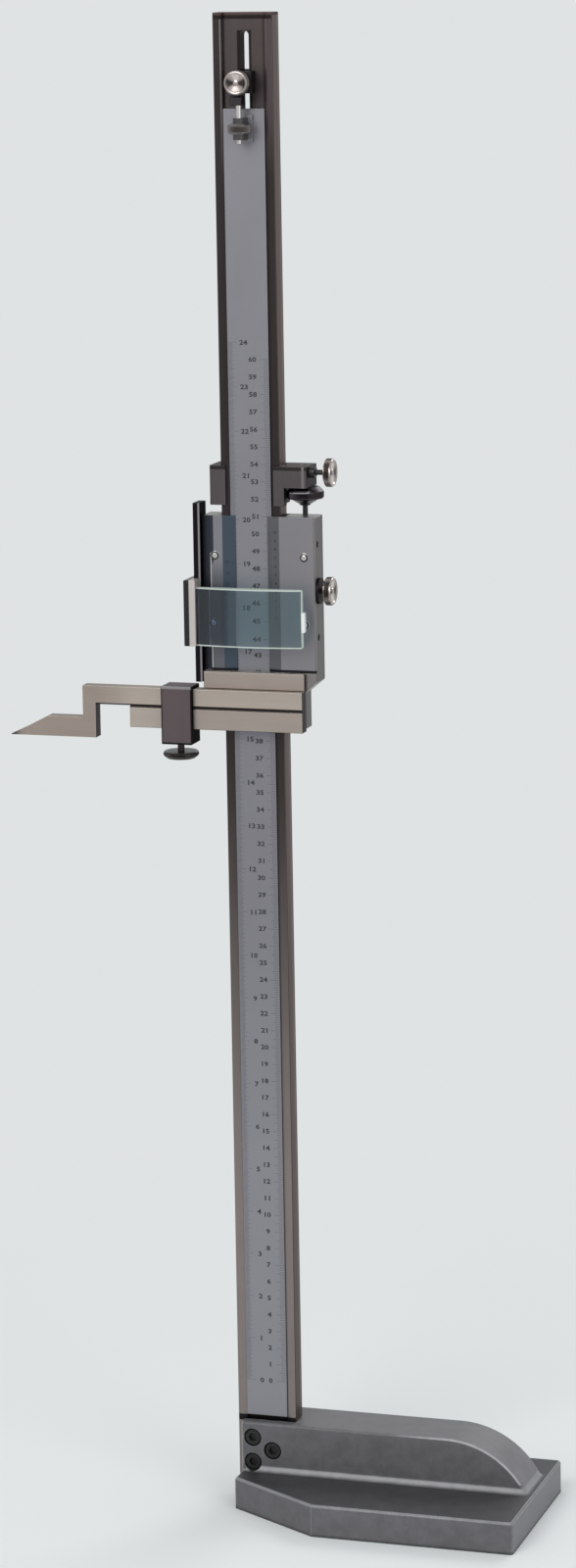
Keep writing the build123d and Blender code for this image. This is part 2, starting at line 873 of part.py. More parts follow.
with BuildPart() as vernier_plate_metric:
    with BuildSketch(Plane.XY.offset(slider_step)):
        with BuildLine():
            Polyline(
                (metric_plate_left, plate_back_face),
                (metric_plate_left, plate_back_face - vernier_edge),
                (metric_plate_left + vernier_bevel_width, slider_front),
                (slider_right, slider_front),
                (slider_right, plate_back_face),
                close=True,
            )
        make_face()
    extrude(amount=slider_top - slider_step)
    outer_edge = edges().filter_by(Axis.Z).group_by(Axis.X)[-1].sort_by(Axis.Y)[0]
    chamfer(outer_edge, plate_edge_break)
    holes(
        across(slider_front), metric_screw_places, vernier_screw_hole, front_plate_thickness
    )
vernier_plate_metric.part.label = "vernier_plate_metric"
export_step(vernier_plate_metric.part, "parts/vernier_plate_metric.step")

with BuildPart() as vernier_screws:
    vernier_screws_all = inch_screw_places + metric_screw_places
    rods(
        across(slider_front), vernier_screws_all, vernier_screw_head, vernier_screw_head_height
    )
    chamfer(
        faces().filter_by(Axis.Y).group_by(Axis.Y)[0].edges(), vernier_screw_head_height / 3
    )
    rods(
        across(slider_front + vernier_screw_bite),
        vernier_screws_all,
        vernier_screw_shank,
        vernier_screw_bite,
    )
vernier_screws.part.label = "vernier_screws"
export_step(vernier_screws.part, "parts/vernier_screws.step")

with BuildPart() as feed_screw:
    rods(
        Plane.XY.offset(feed_screw_bottom), feed_place, feed_screw_diameter, feed_screw_length
    )
    chamfer(edges().sort_by(Axis.Z)[-1], edge_chamfer)
feed_screw.part.label = "feed_screw"
export_step(feed_screw.part, "parts/feed_screw.step")

with BuildPart() as slider_clamp_washer:
    rods(side(slider_right), slider_screw_place, side_washer_diameter, side_washer_thickness)
    holes(
        side(slider_right + side_washer_thickness),
        slider_screw_place,
        side_screw_diameter + 2 * screw_gap,
        side_washer_thickness,
    )
slider_clamp_washer.part.label = "slider_clamp_washer"
export_step(slider_clamp_washer.part, "parts/slider_clamp_washer.step")

with BuildPart() as slider_clamp_screw:
    slider_knob_left = slider_right + slider_knob_reach
    rods(side(slider_knob_left), slider_screw_place, side_knob_diameter, side_knob_thickness)
    chamfer(edges().filter_by(GeomType.CIRCLE), edge_chamfer)
    rods(
        side(gib_right + sliding_gap),
        slider_screw_place,
        side_screw_diameter,
        slider_knob_left - gib_right - sliding_gap,
    )
slider_clamp_screw.part.label = "slider_clamp_screw"
export_step(slider_clamp_screw.part, "parts/slider_clamp_screw.step")

# ---------------------------------------------------------------------------------------------
# Jaw, upper bar, scriber and scriber clamp
# ---------------------------------------------------------------------------------------------

with BuildPart() as measuring_jaw:
    with BuildSketch(across(slider_front)):
        rectangle_between(jaw_left, jaw_right, jaw_bottom, jaw_top)
    extrude(amount=jaw_depth)
    front_top = edges().group_by(Axis.Y)[0].sort_by(Axis.Z)[-1]
    chamfer(front_top, joint_chamfer)
    chamfer(faces().sort_by(Axis.Y)[0].edges().sort_by(Axis.Z)[0], ground_chamfer)
    holes(across(slider_front - jaw_screw_bite), jaw_screw_places, back_screw_hole, jaw_screw_bite)
measuring_jaw.part.label = "measuring_jaw"
export_step(measuring_jaw.part, "parts/measuring_jaw.step")

with BuildPart() as upper_bar:
    with BuildSketch(across(slider_front)):
        rectangle_between(upper_bar_left, upper_bar_right, upper_bar_bottom, upper_bar_top)
    extrude(amount=upper_bar_depth)
    chamfer(edges(), ground_chamfer)
    holes(across(slider_front - bar_screw_bite), bar_screw_places, back_screw_hole, bar_screw_bite)
upper_bar.part.label = "upper_bar"
export_step(upper_bar.part, "parts/upper_bar.step")

scriber_leg_right = scriber_left + scriber_leg_width
scriber_step_z = reading + scriber_foot_height
point_slope = (scriber_step_z - reading) / (scriber_bevel_left - scriber_point)
carbide_right = scriber_point + carbide_length
carbide_top = reading + point_slope * carbide_length
with BuildPart() as scriber:
    with BuildSketch(across(scriber_back)):
        with BuildLine():
            Polyline(
                (jaw_right, shank_bottom),
                (jaw_right, shank_top),
                (scriber_left, shank_top),
                (scriber_left, scriber_step_z),
                (scriber_bevel_left, scriber_step_z),
                (carbide_right, carbide_top),
                (carbide_right, reading),
                (scriber_leg_right, reading),
                (scriber_leg_right, shank_bottom),
                close=True,
            )
        make_face()
    extrude(amount=scriber_back - jaw_front)
    front_foot = faces().sort_by(Axis.Y)[0].edges().filter_by(Axis.X)
    front_foot = front_foot.filter_by_position(
        Axis.Z, shank_bottom - ground_chamfer, shank_bottom + ground_chamfer
    )
    chamfer(front_foot, joint_chamfer)
    inner_corners = edges().filter_by(Axis.Y).filter_by_position(
        Axis.X, scriber_left - 1, scriber_leg_right + 1
    )
    fillet(
        inner_corners.filter_by_position(Axis.Z, scriber_step_z - 1, shank_bottom + 1),
        scriber_corner_radius,
    )
scriber.part.label = "scriber"
export_step(scriber.part, "parts/scriber.step")

with BuildPart() as carbide_tip:
    with BuildSketch(across(scriber_back)):
        with BuildLine():
            Polyline(
                (carbide_right, carbide_top),
                (carbide_right, reading),
                (scriber_point, reading),
                (scriber_point, reading + carbide_point_height),
                close=True,
            )
        make_face()
    extrude(amount=scriber_back - jaw_front)
carbide_tip.part.label = "carbide_tip"
export_step(carbide_tip.part, "parts/carbide_tip.step")

with BuildPart() as scriber_clamp:
    with BuildSketch(side(clamp_left)):
        rectangle_between(clamp_front, clamp_back, clamp_bottom, clamp_top)
        rectangle_between(
            clamp_inner_front,
            clamp_inner_back,
            clamp_inner_bottom,
            clamp_inner_top,
            mode=Mode.SUBTRACT,
        )
    extrude(amount=clamp_width)
    outer = faces().sort_by(Axis.X)
    chamfer(outer[0].outer_wire().edges() + outer[-1].outer_wire().edges(), edge_chamfer)
    clamp_screw_place = [(clamp_centre_x, clamp_centre_y)]
    holes(
        Plane.XY.offset(clamp_inner_bottom),
        clamp_screw_place,
        clamp_pad_diameter + 2 * screw_gap,
        clamp_pad_thickness + seat_gap,
    )
    holes(
        Plane.XY.offset(clamp_inner_bottom),
        clamp_screw_place,
        clamp_spindle + 2 * running_gap,
        clamp_bottom_wall,
    )
scriber_clamp.part.label = "scriber_clamp"
export_step(scriber_clamp.part, "parts/scriber_clamp.step")

with BuildPart() as scriber_clamp_pad:
    pad_bottom = clamp_inner_bottom - clamp_pad_thickness
    rods(
        Plane.XY.offset(pad_bottom), clamp_screw_place, clamp_pad_diameter, clamp_pad_thickness
    )
scriber_clamp_pad.part.label = "scriber_clamp_pad"
export_step(scriber_clamp_pad.part, "parts/scriber_clamp_pad.step")

with BuildPart() as scriber_clamp_screw:
    clamp_wheel_top = clamp_bottom - clamp_spindle_reach
    clamp_wheel_bottom = clamp_wheel_top - clamp_wheel_thickness
    rods(
        Plane.XY.offset(clamp_wheel_bottom),
        clamp_screw_place,
        clamp_wheel_diameter,
        clamp_wheel_thickness,
    )
    chamfer(edges().filter_by(GeomType.CIRCLE).sort_by(Axis.Z)[-1], edge_chamfer)
    chamfer(edges().filter_by(GeomType.CIRCLE).sort_by(Axis.Z)[0], clamp_wheel_chamfer)
    rods(
        Plane.XY.offset(clamp_wheel_top),
        clamp_screw_place,
        clamp_spindle,
        pad_bottom - sliding_gap - clamp_wheel_top,
    )
scriber_clamp_screw.part.label = "scriber_clamp_screw"
export_step(scriber_clamp_screw.part, "parts/scriber_clamp_screw.step")

# ---------------------------------------------------------------------------------------------
# Magnifier on its rail
# ---------------------------------------------------------------------------------------------

with BuildPart() as magnifier_rail:
    with BuildSketch(Plane.XY.offset(rail_bottom)):
        rectangle_between(rail_left, rail_right, rail_front, rail_back)
    extrude(amount=rail_length)
    chamfer(edges().filter_by(Axis.Z).group_by(Axis.X)[0], edge_chamfer)
    front_right = edges().filter_by(Axis.Z).group_by(Axis.X)[-1].sort_by(Axis.Y)[0]
    chamfer(front_right, plate_edge_break)
    holes(
        side(rail_left + rail_screw_head_height),
        rail_screw_places,
        rail_screw_head + 2 * screw_gap,
        rail_screw_head_height,
    )
    holes(side(rail_right), rail_screw_places, rail_screw_hole, rail_thickness)
magnifier_rail.part.label = "magnifier_rail"
export_step(magnifier_rail.part, "parts/magnifier_rail.step")

with BuildPart() as rail_screws:
    rods(side(rail_left), rail_screw_places, rail_screw_head, rail_screw_head_height)
    rods(
        side(rail_left + rail_screw_head_height),
        rail_screw_places,
        rail_screw_shank,
        rail_screw_tip - rail_left - rail_screw_head_height,
    )
rail_screws.part.label = "rail_screws"
export_step(rail_screws.part, "parts/rail_screws.step")

slide_screw_places = [
    (slide_screw_y, slide_bottom + slide_screw_inset),
    (slide_screw_y, slide_top - slide_screw_inset),
]
with BuildPart() as magnifier_slide:
    with BuildSketch(Plane.XY.offset(slide_bottom)):
        rectangle_between(side_plate_right, slide_web_right, slide_front, slide_web_back)
    extrude(amount=slide_height)
    # slot that holds the lens by its left edge
    with BuildSketch(Plane.XY.offset(slide_bottom)):
        rectangle_between(
            lens_left - seat_gap,
            slide_web_right,
            lens_front_edge - lens_slot_room,
            lens_back + seat_gap,
        )
    extrude(amount=lens_top + seat_gap - slide_bottom, mode=Mode.SUBTRACT)
    holes(
        side(side_plate_right + slide_screw_bite),
        slide_screw_places,
        slide_screw_shank + 2 * running_gap,
        slide_screw_bite,
    )
magnifier_slide.part.label = "magnifier_slide"
export_step(magnifier_slide.part, "parts/magnifier_slide.step")

with BuildPart() as magnifier_side_plate:
    hook_front = rail_back + slide_gap
    with BuildSketch(Plane.XY.offset(slide_bottom)):
        rectangle_between(
            side_plate_left, side_plate_right, slide_front, hook_front + side_hook_depth
        )
        rectangle_between(
            side_plate_right,
            side_plate_right + side_hook_width,
            hook_front,
            hook_front + side_hook_depth,
        )
    extrude(amount=slide_height)
    chamfer(faces().sort_by(Axis.X)[0].edges(), edge_chamfer)
    holes(
        side(side_plate_left + slide_screw_head_height),
        slide_screw_places,
        slide_screw_head + 2 * screw_gap,
        slide_screw_head_height,
    )
    holes(
        side(side_plate_right),
        slide_screw_places,
        slide_screw_shank + 2 * running_gap,
        side_plate_thickness,
    )
magnifier_side_plate.part.label = "magnifier_side_plate"
export_step(magnifier_side_plate.part, "parts/magnifier_side_plate.step")

with BuildPart() as side_plate_screws:
    rods(side(side_plate_left), slide_screw_places, slide_screw_head, slide_screw_head_height)
    rods(
        side(side_plate_left + slide_screw_head_height),
        slide_screw_places,
        slide_screw_shank,
        side_plate_thickness - slide_screw_head_height + slide_screw_bite,
    )
side_plate_screws.part.label = "side_plate_screws"
export_step(side_plate_screws.part, "parts/side_plate_screws.step")

with BuildPart() as magnifier_lens:
    # plano-convex: a ball of the right radius cut out of a rectangular block
    lens_half_diagonal = math.hypot((lens_right - lens_left) / 2, lens_height / 2)
    lens_radius = (lens_half_diagonal**2 + lens_bulge**2) / (2 * lens_bulge)
    lens_ball_y = lens_front_edge - lens_bulge + lens_radius
    with BuildSketch(across(lens_back)):
        rectangle_between(lens_left, lens_right, lens_bottom, lens_top)
        fillet(vertices().group_by(Axis.X)[-1], lens_corner_radius)
    extrude(amount=lens_edge + lens_bulge)
    with Locations(((lens_left + lens_right) / 2, lens_ball_y, (lens_bottom + lens_top) / 2)):
        Sphere(lens_radius, mode=Mode.INTERSECT)
magnifier_lens.part.label = "magnifier_lens"
export_step(magnifier_lens.part, "parts/magnifier_lens.step")

with BuildPart() as lens_grip:
    with BuildSketch(side(lens_right)):
        rectangle_between(
            lens_back - grip_depth,
            lens_back,
            lens_bottom + grip_lift,
            lens_bottom + grip_lift + grip_height,
        )
    extrude(amount=grip_width)
    chamfer(faces().sort_by(Axis.X)[-1].edges(), edge_chamfer)
lens_grip.part.label = "lens_grip"
export_step(lens_grip.part, "parts/lens_grip.step")

# ---------------------------------------------------------------------------------------------
# Fine-feed carrier above the slider
# ---------------------------------------------------------------------------------------------

carrier_screw_place = [(carrier_screw_y, carrier_screw_z)]
shoe_bottom = carrier_screw_z - shoe_height / 2

with BuildPart() as carrier:
    with BuildSketch(Plane.XY.offset(carrier_bottom)):
        rectangle_between(carrier_left, carrier_right, carrier_front, carrier_back)
        fillet(vertices(), carrier_corner_radius)
        rectangle_between(
            channel_left, -channel_left, plate_back_face, slider_back, mode=Mode.SUBTRACT
        )
        rectangle_between(
            -carrier_window / 2,
            carrier_window / 2,
            carrier_front,
            plate_back_face,
            mode=Mode.SUBTRACT,
        )
    extrude(amount=carrier_height)
    # notch at the lower right for the feed wheel
    with BuildSketch(Plane.XY.offset(carrier_bottom)):
        rectangle_between(-channel_left, carrier_right, feed_notch_front, carrier_back)
        rectangle_between(feed_notch_left, carrier_right, carrier_front, feed_notch_front)
    extrude(amount=feed_notch_height, mode=Mode.SUBTRACT)
    # recess for the clamp shoe
    with BuildSketch(Plane.XY.offset(shoe_bottom - sliding_gap)):
        rectangle_between(
            -channel_left - sliding_gap,
            shoe_right + sliding_gap,
            carrier_screw_y - shoe_width / 2 - sliding_gap,
            carrier_screw_y + shoe_width / 2 + sliding_gap,
        )
    extrude(amount=carrier_height, mode=Mode.SUBTRACT)
    holes(
        Plane.XY.offset(carrier_top),
        feed_place,
        feed_journal_diameter + 2 * running_gap,
        carrier_height,
    )
    # seat of the retainer, sunk in the top
    holes(
        Plane.XY.offset(carrier_top),
        feed_place,
        retainer_diameter + 2 * screw_gap,
        retainer_thickness + sliding_gap,
    )
    holes(
        side(carrier_right), carrier_screw_place, side_screw_hole, carrier_right - shoe_right
    )
carrier.part.label = "carrier"
export_step(carrier.part, "parts/carrier.step")

with BuildPart() as carrier_clamp_shoe:
    with BuildSketch(side(shoe_left)):
        with Locations(*carrier_screw_place):
            Rectangle(shoe_width, shoe_height)
    extrude(amount=shoe_thickness)
carrier_clamp_shoe.part.label = "carrier_clamp_shoe"
export_step(carrier_clamp_shoe.part, "parts/carrier_clamp_shoe.step")

with BuildPart() as carrier_clamp_screw:
    carrier_knob_left = carrier_right + carrier_knob_reach
    rods(
        side(carrier_knob_left), carrier_screw_place, side_knob_diameter, side_knob_thickness
    )
    chamfer(edges().filter_by(GeomType.CIRCLE), edge_chamfer)
    rods(
        side(shoe_right + sliding_gap),
        carrier_screw_place,
        side_screw_diameter,
        carrier_knob_left - shoe_right - sliding_gap,
    )
carrier_clamp_screw.part.label = "carrier_clamp_screw"
export_step(carrier_clamp_screw.part, "parts/carrier_clamp_screw.step")

with BuildPart() as carrier_screw_collar:
    rods(
        side(carrier_right + sliding_gap),
        carrier_screw_place,
        carrier_collar_diameter,
        carrier_collar_length,
    )
    holes(
        side(carrier_right + sliding_gap + carrier_collar_length),
        carrier_screw_place,
        side_screw_hole,
        carrier_collar_length,
    )
carrier_screw_collar.part.label = "carrier_screw_collar"
export_step(carrier_screw_collar.part, "parts/carrier_screw_collar.step")

with BuildPart() as feed_wheel:
    rods(
        Plane.XY.offset(feed_wheel_bottom),
        feed_place,
        feed_wheel_diameter,
        feed_wheel_thickness,
    )
    chamfer(edges().filter_by(GeomType.CIRCLE).sort_by(Axis.Z)[0], edge_chamfer)
    chamfer(edges().filter_by(GeomType.CIRCLE).sort_by(Axis.Z)[-1], feed_wheel_bevel)
    # below the knurled disc a cone, then a short hub
    with BuildSketch(across(feed_y)):
        with BuildLine():
            Polyline(
                (feed_x, feed_wheel_bottom),
                (feed_x + feed_wheel_cone_diameter / 2, feed_wheel_bottom),
                (feed_x + feed_wheel_hub / 2, feed_cone_bottom),
                (feed_x + feed_wheel_hub / 2, feed_hub_bottom),
                (feed_x, feed_hub_bottom),
                close=True,
            )
        make_face()
    revolve(axis=Axis((feed_x, feed_y, 0), (0, 0, 1)))
    # journal above, through the carrier
    rods(
        Plane.XY.offset(feed_wheel_top),
        feed_place,
        feed_journal_diameter,
        carrier_top - feed_wheel_top,
    )
    holes(Plane.XY.offset(carrier_top), feed_place, feed_hole, carrier_top - feed_hub_bottom)
feed_wheel.part.label = "feed_wheel"
export_step(feed_wheel.part, "parts/feed_wheel.step")

with BuildPart() as feed_wheel_retainer:
    rods(Plane.XY.offset(retainer_bottom), feed_place, retainer_diameter, retainer_thickness)
    holes(
        Plane.XY.offset(carrier_top),
        feed_place,
        feed_journal_diameter + 2 * running_gap,
        retainer_thickness,
    )
feed_wheel_retainer.part.label = "feed_wheel_retainer"
export_step(feed_wheel_retainer.part, "parts/feed_wheel_retainer.step")
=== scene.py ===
import bmesh
import bpy
import json
import math
from mathutils import Matrix, Vector


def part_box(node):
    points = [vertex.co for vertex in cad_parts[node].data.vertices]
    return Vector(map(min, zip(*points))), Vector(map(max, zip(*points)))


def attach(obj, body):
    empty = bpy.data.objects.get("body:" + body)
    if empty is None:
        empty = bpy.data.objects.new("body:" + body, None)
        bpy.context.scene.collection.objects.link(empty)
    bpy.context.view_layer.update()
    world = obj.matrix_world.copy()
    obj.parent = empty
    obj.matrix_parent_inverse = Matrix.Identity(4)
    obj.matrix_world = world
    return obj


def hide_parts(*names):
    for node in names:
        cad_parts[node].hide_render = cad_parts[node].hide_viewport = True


# Height gauge: the finishes, graduations, numbers, knurls, threads and screw heads that dress
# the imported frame. The frame is in metres, +Z up, with the scales facing -Y; drawings below are
# in millimetres and are scaled as they are laid on their faces.

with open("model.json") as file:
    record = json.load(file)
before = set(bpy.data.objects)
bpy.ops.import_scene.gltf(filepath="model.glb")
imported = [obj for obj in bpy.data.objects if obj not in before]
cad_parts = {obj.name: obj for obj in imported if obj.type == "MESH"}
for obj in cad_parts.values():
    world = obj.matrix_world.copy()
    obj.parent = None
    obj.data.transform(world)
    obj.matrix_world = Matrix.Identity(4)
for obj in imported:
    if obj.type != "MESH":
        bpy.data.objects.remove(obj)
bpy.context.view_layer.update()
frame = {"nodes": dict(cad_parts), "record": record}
mm = 0.001


def linked(name, data):
    """New object in the scene, round a mesh, a text, a lamp or a lens."""
    thing = bpy.data.objects.new(name, data)
    bpy.context.collection.objects.link(thing)
    return thing


def plain_mesh(holder):
    """Mesh of an object as its modifier or its text shapes it; the object itself is removed."""
    graph = bpy.context.evaluated_depsgraph_get()
    mesh = bpy.data.meshes.new_from_object(holder.evaluated_get(graph))
    holder.modifiers.clear()
    bpy.data.objects.remove(holder)
    return mesh


# --- camera ---

picture_height = 1600
camera_azimuth, camera_elevation, camera_roll = 17.701, 7.949, -0.986
camera_distance = 2708.1 * mm
camera_target = Vector((20.002, 0, 568.89)) * mm
focal_pixels = 4844.0
axis_height = 550.0  # picture row of the lens axis, counted from the top


def place_camera():
    turn, lift, roll = (math.radians(a) for a in (camera_azimuth, camera_elevation, camera_roll))
    level = math.cos(lift)
    back = Vector((math.sin(turn) * level, -math.cos(turn) * level, math.sin(lift)))
    across = Vector((math.cos(turn), math.sin(turn), 0))
    upright = back.cross(across)
    right = math.cos(roll) * across + math.sin(roll) * upright
    up = math.cos(roll) * upright - math.sin(roll) * across
    lens = bpy.data.cameras.new("camera")
    lens.sensor_width = 36
    lens.lens = focal_pixels / picture_height * lens.sensor_width
    lens.shift_y = (axis_height - picture_height / 2) / picture_height
    lens.clip_start, lens.clip_end = 0.1, 50
    camera = linked("camera", lens)
    camera.matrix_world = Matrix.Translation(camera_target + back * camera_distance) @ Matrix(
        (right, up, back)
    ).transposed().to_4x4()
    bpy.context.scene.camera = camera


place_camera()

# --- nodes as expressions ---


def with_other(operation, swapped=False):
    """Method that works out one operation on a wire and another value, or the two swapped."""

    def work_out(wire, other):
        return wire.maths(operation, *((other, wire) if swapped else (wire, other)))

    return work_out


class Wire:
    """One output socket, so that node maths can be written as plain expressions."""

    def __init__(self, nodes, socket):
        self.nodes = nodes
        self.socket = socket

    def maths(self, operation, first, second=0.0):
        return self.nodes.add("ShaderNodeMath", {"operation": operation}, {0: first, 1: second})

    def floor(self):
        return self.maths("FLOOR", self)

    def off_zero(self):
        return self.maths("ABSOLUTE", self)

    __add__ = __radd__ = with_other("ADD")
    __sub__, __rsub__ = with_other("SUBTRACT"), with_other("SUBTRACT", swapped=True)
    __mul__ = __rmul__ = with_other("MULTIPLY")
    __truediv__ = with_other("DIVIDE")
    __mod__ = with_other("FLOORED_MODULO")
    __lt__ = with_other("LESS_THAN")
    __gt__ = with_other("GREATER_THAN")
    largest = with_other("MAXIMUM")


class Nodes:
    """A node tree that grows by one call a node: its type, its settings, then its sockets."""

    def __init__(self, tree):
        self.tree = tree

    def add(self, kind, settings=None, sockets=None, output=0):
        node = self.tree.nodes.new(kind)
        for name, value in (settings or {}).items():
            setattr(node, name, value)
        for key, value in (sockets or {}).items():
            self.feed(node.inputs[key], value)
        return Wire(self, node.outputs[output])

    def feed(self, socket, value):
        if isinstance(value, Wire):
            self.tree.links.new(value.socket, socket)
        else:
            socket.default_value = value

    def also(self, wire, output):
        """Another output of the node that a wire comes from."""
        return Wire(self, wire.socket.node.outputs[output])


finishes = {}  # the finished materials, by name
drawn_out = 60  # how much longer than wide the marks of a drawn surface are
edge_rays, rounding_rays = 8, 6  # rays that look for edges, to shade them and to round them
turned_to = (0.55, 0.8)  # how squarely a surface faces a way, where its shade starts and is full
bent_by = (0.005, 0.06)  # how far an edge bends a surface, where its shade starts and is full


class Finish(Nodes):
    """A material round one Principled shader, patterned on Object coordinates."""

    def __init__(self, name, **plain):
        finishes[name] = self.material = bpy.data.materials.new(name)
        self.material.use_nodes = True
        super().__init__(self.material.node_tree)
        self.shader = self.tree.nodes["Principled BSDF"]
        self.set(**plain)
        self.place = self.add("ShaderNodeTexCoord", output="Object")
        self.facing = self.also(self.place, "Normal")

    def noise(self, size, detail=2.0, rough=0.55, along=None):
        """Noise from 0 to 1 whose features are about size mm, and drawn out along one axis."""
        stretch = [1 / (size * mm)] * 3
        if along is not None:
            stretch[along] /= drawn_out
        grid = self.add("ShaderNodeMapping", sockets={"Vector": self.place, "Scale": stretch})
        return self.add(
            "ShaderNodeTexNoise",
            sockets={"Vector": grid, "Scale": 1.0, "Detail": detail, "Roughness": rough},
        )

    def at(self, axis):
        """Place along an axis, in metres."""
        return self.add("ShaderNodeSeparateXYZ", sockets={0: self.place}, output=axis)

    def lean(self, axis):
        """How far a surface faces along an axis, from -1 to 1."""
        return self.add("ShaderNodeSeparateXYZ", sockets={0: self.facing}, output=axis)

    def rise(self, value, start, end):
        """0 below start and 1 above end, with a soft step between them."""
        sockets = {"Value": value, "From Min": start, "From Max": end}
        return self.add("ShaderNodeMapRange", {"interpolation_type": "SMOOTHSTEP"}, sockets)

    def past(self, axis, start, end):
        """0 before start and 1 past end along an axis, either way; both are in mm."""
        return self.rise(self.at(axis), start * mm, end * mm)

    def off(self, axis, middle):
        """Distance from a plane across an axis, in metres; middle is in mm."""
        return (self.at(axis) - middle * mm).off_zero()

    def within(self, axis, middle, half):
        """1 in a hard-edged band about a plane across an axis; middle and half are in mm."""
        return self.off(axis, middle) < half * mm

    def line_at(self, axis, middle, half):
        """1 in a soft-edged band about a plane across an axis; middle and half are in mm."""
        return 1 - self.rise(self.off(axis, middle), half * 0.4 * mm, half * mm)

    def faces(self, axis, sign):
        """1 on surfaces that face along an axis."""
        return self.rise(self.lean(axis) * sign, *turned_to)

    def edges(self, radius):
        """1 on edges that a fillet of this radius in mm would round, 0 on flat surfaces."""
        smooth = self.add("ShaderNodeBevel", {"samples": edge_rays}, {"Radius": radius * mm})
        flat = self.add("ShaderNodeNewGeometry", output="Normal")
        dot = {"operation": "DOT_PRODUCT"}
        agree = self.add("ShaderNodeVectorMath", dot, {0: smooth, 1: flat}, output="Value")
        return self.rise(1 - agree, *bent_by)

    def attribute(self, name):
        return self.add("ShaderNodeAttribute", {"attribute_name": name}, output="Fac")

    def blend(self, share, low, high, way="MIX"):
        """Colour that goes from low to high with share."""
        low, high = (end if isinstance(end, Wire) else (*end, 1) for end in (low, high))
        settings = {"data_type": "RGBA", "blend_type": way}
        return self.add("ShaderNodeMix", settings, {0: share, 6: low, 7: high}, output=2)

    def times(self, colour, light):
        """A colour multiplied by a grey level."""
        grey = self.add("ShaderNodeCombineColor", sockets={0: light, 1: light, 2: light})
        return self.blend(1.0, colour, grey, "MULTIPLY")

    def laid_over(self, body, patches):
        """A colour with patches laid over it in turn, each a share and the shade it takes."""
        for share, shade in patches:
            body = self.blend(share, body, shade)
        return body

    def set(self, **links):
        for words, value in links.items():
            self.feed(self.shader.inputs[words.replace("_", " ")], value)

    def bump(self, height, depth, rounding=0.0):
        """Bumps about depth mm high, over edges rounded to a radius in mm."""
        sockets = {"Height": height, "Distance": depth * mm}
        if rounding:
            settings, radius = {"samples": rounding_rays}, {"Radius": rounding * mm}
            sockets["Normal"] = self.add("ShaderNodeBevel", settings, radius)
        self.set(Normal=self.add("ShaderNodeBump", sockets=sockets))


# --- finishes ---

X, Y, Z = 0, 1, 2
# The second colour is a painted shade: the dark blue of the recessed strips beside the inch
# vernier.
black, painted_blue_shade, dark_steel = (0.008, 0.008, 0.008), (0.034, 0.037, 0.050), (0.075, 0.066, 0.068)


def tint(colour, factor):
    return tuple(c * factor for c in colour)


def sheen(edge_on):
    """Settings for how bright a surface turns when it is seen edge-on."""
    return {"Specular_Tint": (edge_on, edge_on, edge_on, 1), "Specular_IOR_Level": 0.5 * edge_on}


def unmarked(finish):
    """No patches."""
    return ()


def drawn_steel(name, colour, rough, metal, along, spread=0.18, edge_on=1.0, patches=unmarked):
    """Ground or drawn metal: fine lines along one axis over slow changes of shade.

    Patches is a function of the finish that gives (share, colour) pairs to lay over the colour,
    and edge_on says how bright the surface turns when it is seen edge-on.
    """
    finish = Finish(name, Metallic=metal, **sheen(edge_on))
    lines = finish.noise(0.25, detail=3, along=along)
    cloud = finish.noise(22)
    streaks = finish.noise(3.5, along=along)
    share = lines * 0.45 + cloud * 0.25 + streaks * 0.3
    body = finish.laid_over(colour, patches(finish))
    finish.set(Base_Color=finish.times(body, share * (2 * spread) + (1 - spread)))
    finish.set(Roughness=lines * 0.16 + cloud * 0.08 + (rough - 0.12))
    finish.bump(lines, 0.004, rounding=0.35)


def column_patches(finish):
    """Painted light: flanks lighter than the front with painted reflection stripes, painted
    highlights along the flanges' bevels, a painted reflection that lightens the foot, and painted
    shade round the slot, in the groove's right corner and where the column sits in the base.
    """
    half_width, half_groove = 17.5 * mm, 12.5 * mm
    sides = finish.rise(finish.off(X, 0), half_width - 0.1 * mm, half_width)
    # painted light: the flanks are lighter than the front
    flank = finish.blend(finish.noise(2.2, along=Z), (0.12, 0.095, 0.09), (0.25, 0.20, 0.19))
    groove = finish.rise(finish.off(X, 0), half_groove, half_groove - 0.2 * mm)
    top = finish.past(Z, 770, 830)
    slot = finish.rise(finish.off(X, 0), 4.6 * mm, 3.8 * mm) * finish.within(Z, 833, 25)
    return (
        # painted reflection: lighter towards the foot
        (finish.past(Z, 470, 160), (0.25, 0.215, 0.205)),
        (top * groove, (0.078, 0.064, 0.063)),
        (top * finish.past(X, 12.3, 12.5), (0.085, 0.066, 0.070)),
        # painted highlights along the bevels of the flanges
        (top * finish.line_at(X, -13.4, 0.5) * 0.8, (0.26, 0.23, 0.23)),
        (top * finish.line_at(X, 13.9, 0.35) * 0.5, (0.26, 0.23, 0.225)),
        # painted shade in the groove's right corner
        (finish.line_at(X, 11.6, 0.8) * 0.7, (0.02, 0.018, 0.02)),
        # painted shade round the slot
        (slot, (0.022, 0.016, 0.015)),
        (finish.within(Z, 865.4, 1.1) * (1 - sides), (0.025, 0.018, 0.018)),
        # painted shadow where the column sits in the base
        (finish.within(Z, 49.0, 1.8) * (1 - sides), (0.020, 0.017, 0.018)),
        (sides, flank),
        # painted reflection stripes along the flanks
        (sides * finish.line_at(Y, -5.3, 0.8), (0.07, 0.055, 0.052)),
        (sides * finish.line_at(Y, 3.6, 1.1) * 0.7, (0.33, 0.29, 0.29)),
        (sides * finish.line_at(Y, 5.6, 0.6), (0.06, 0.048, 0.045)),
        (finish.within(Z, 868, 1.5), (0.085, 0.058, 0.055)),
    )


def scale_patches(finish):
    """Painted light: the scale is a little lighter towards its foot."""
    return ((finish.past(Z, 380, 180), (0.275, 0.275, 0.30)),)


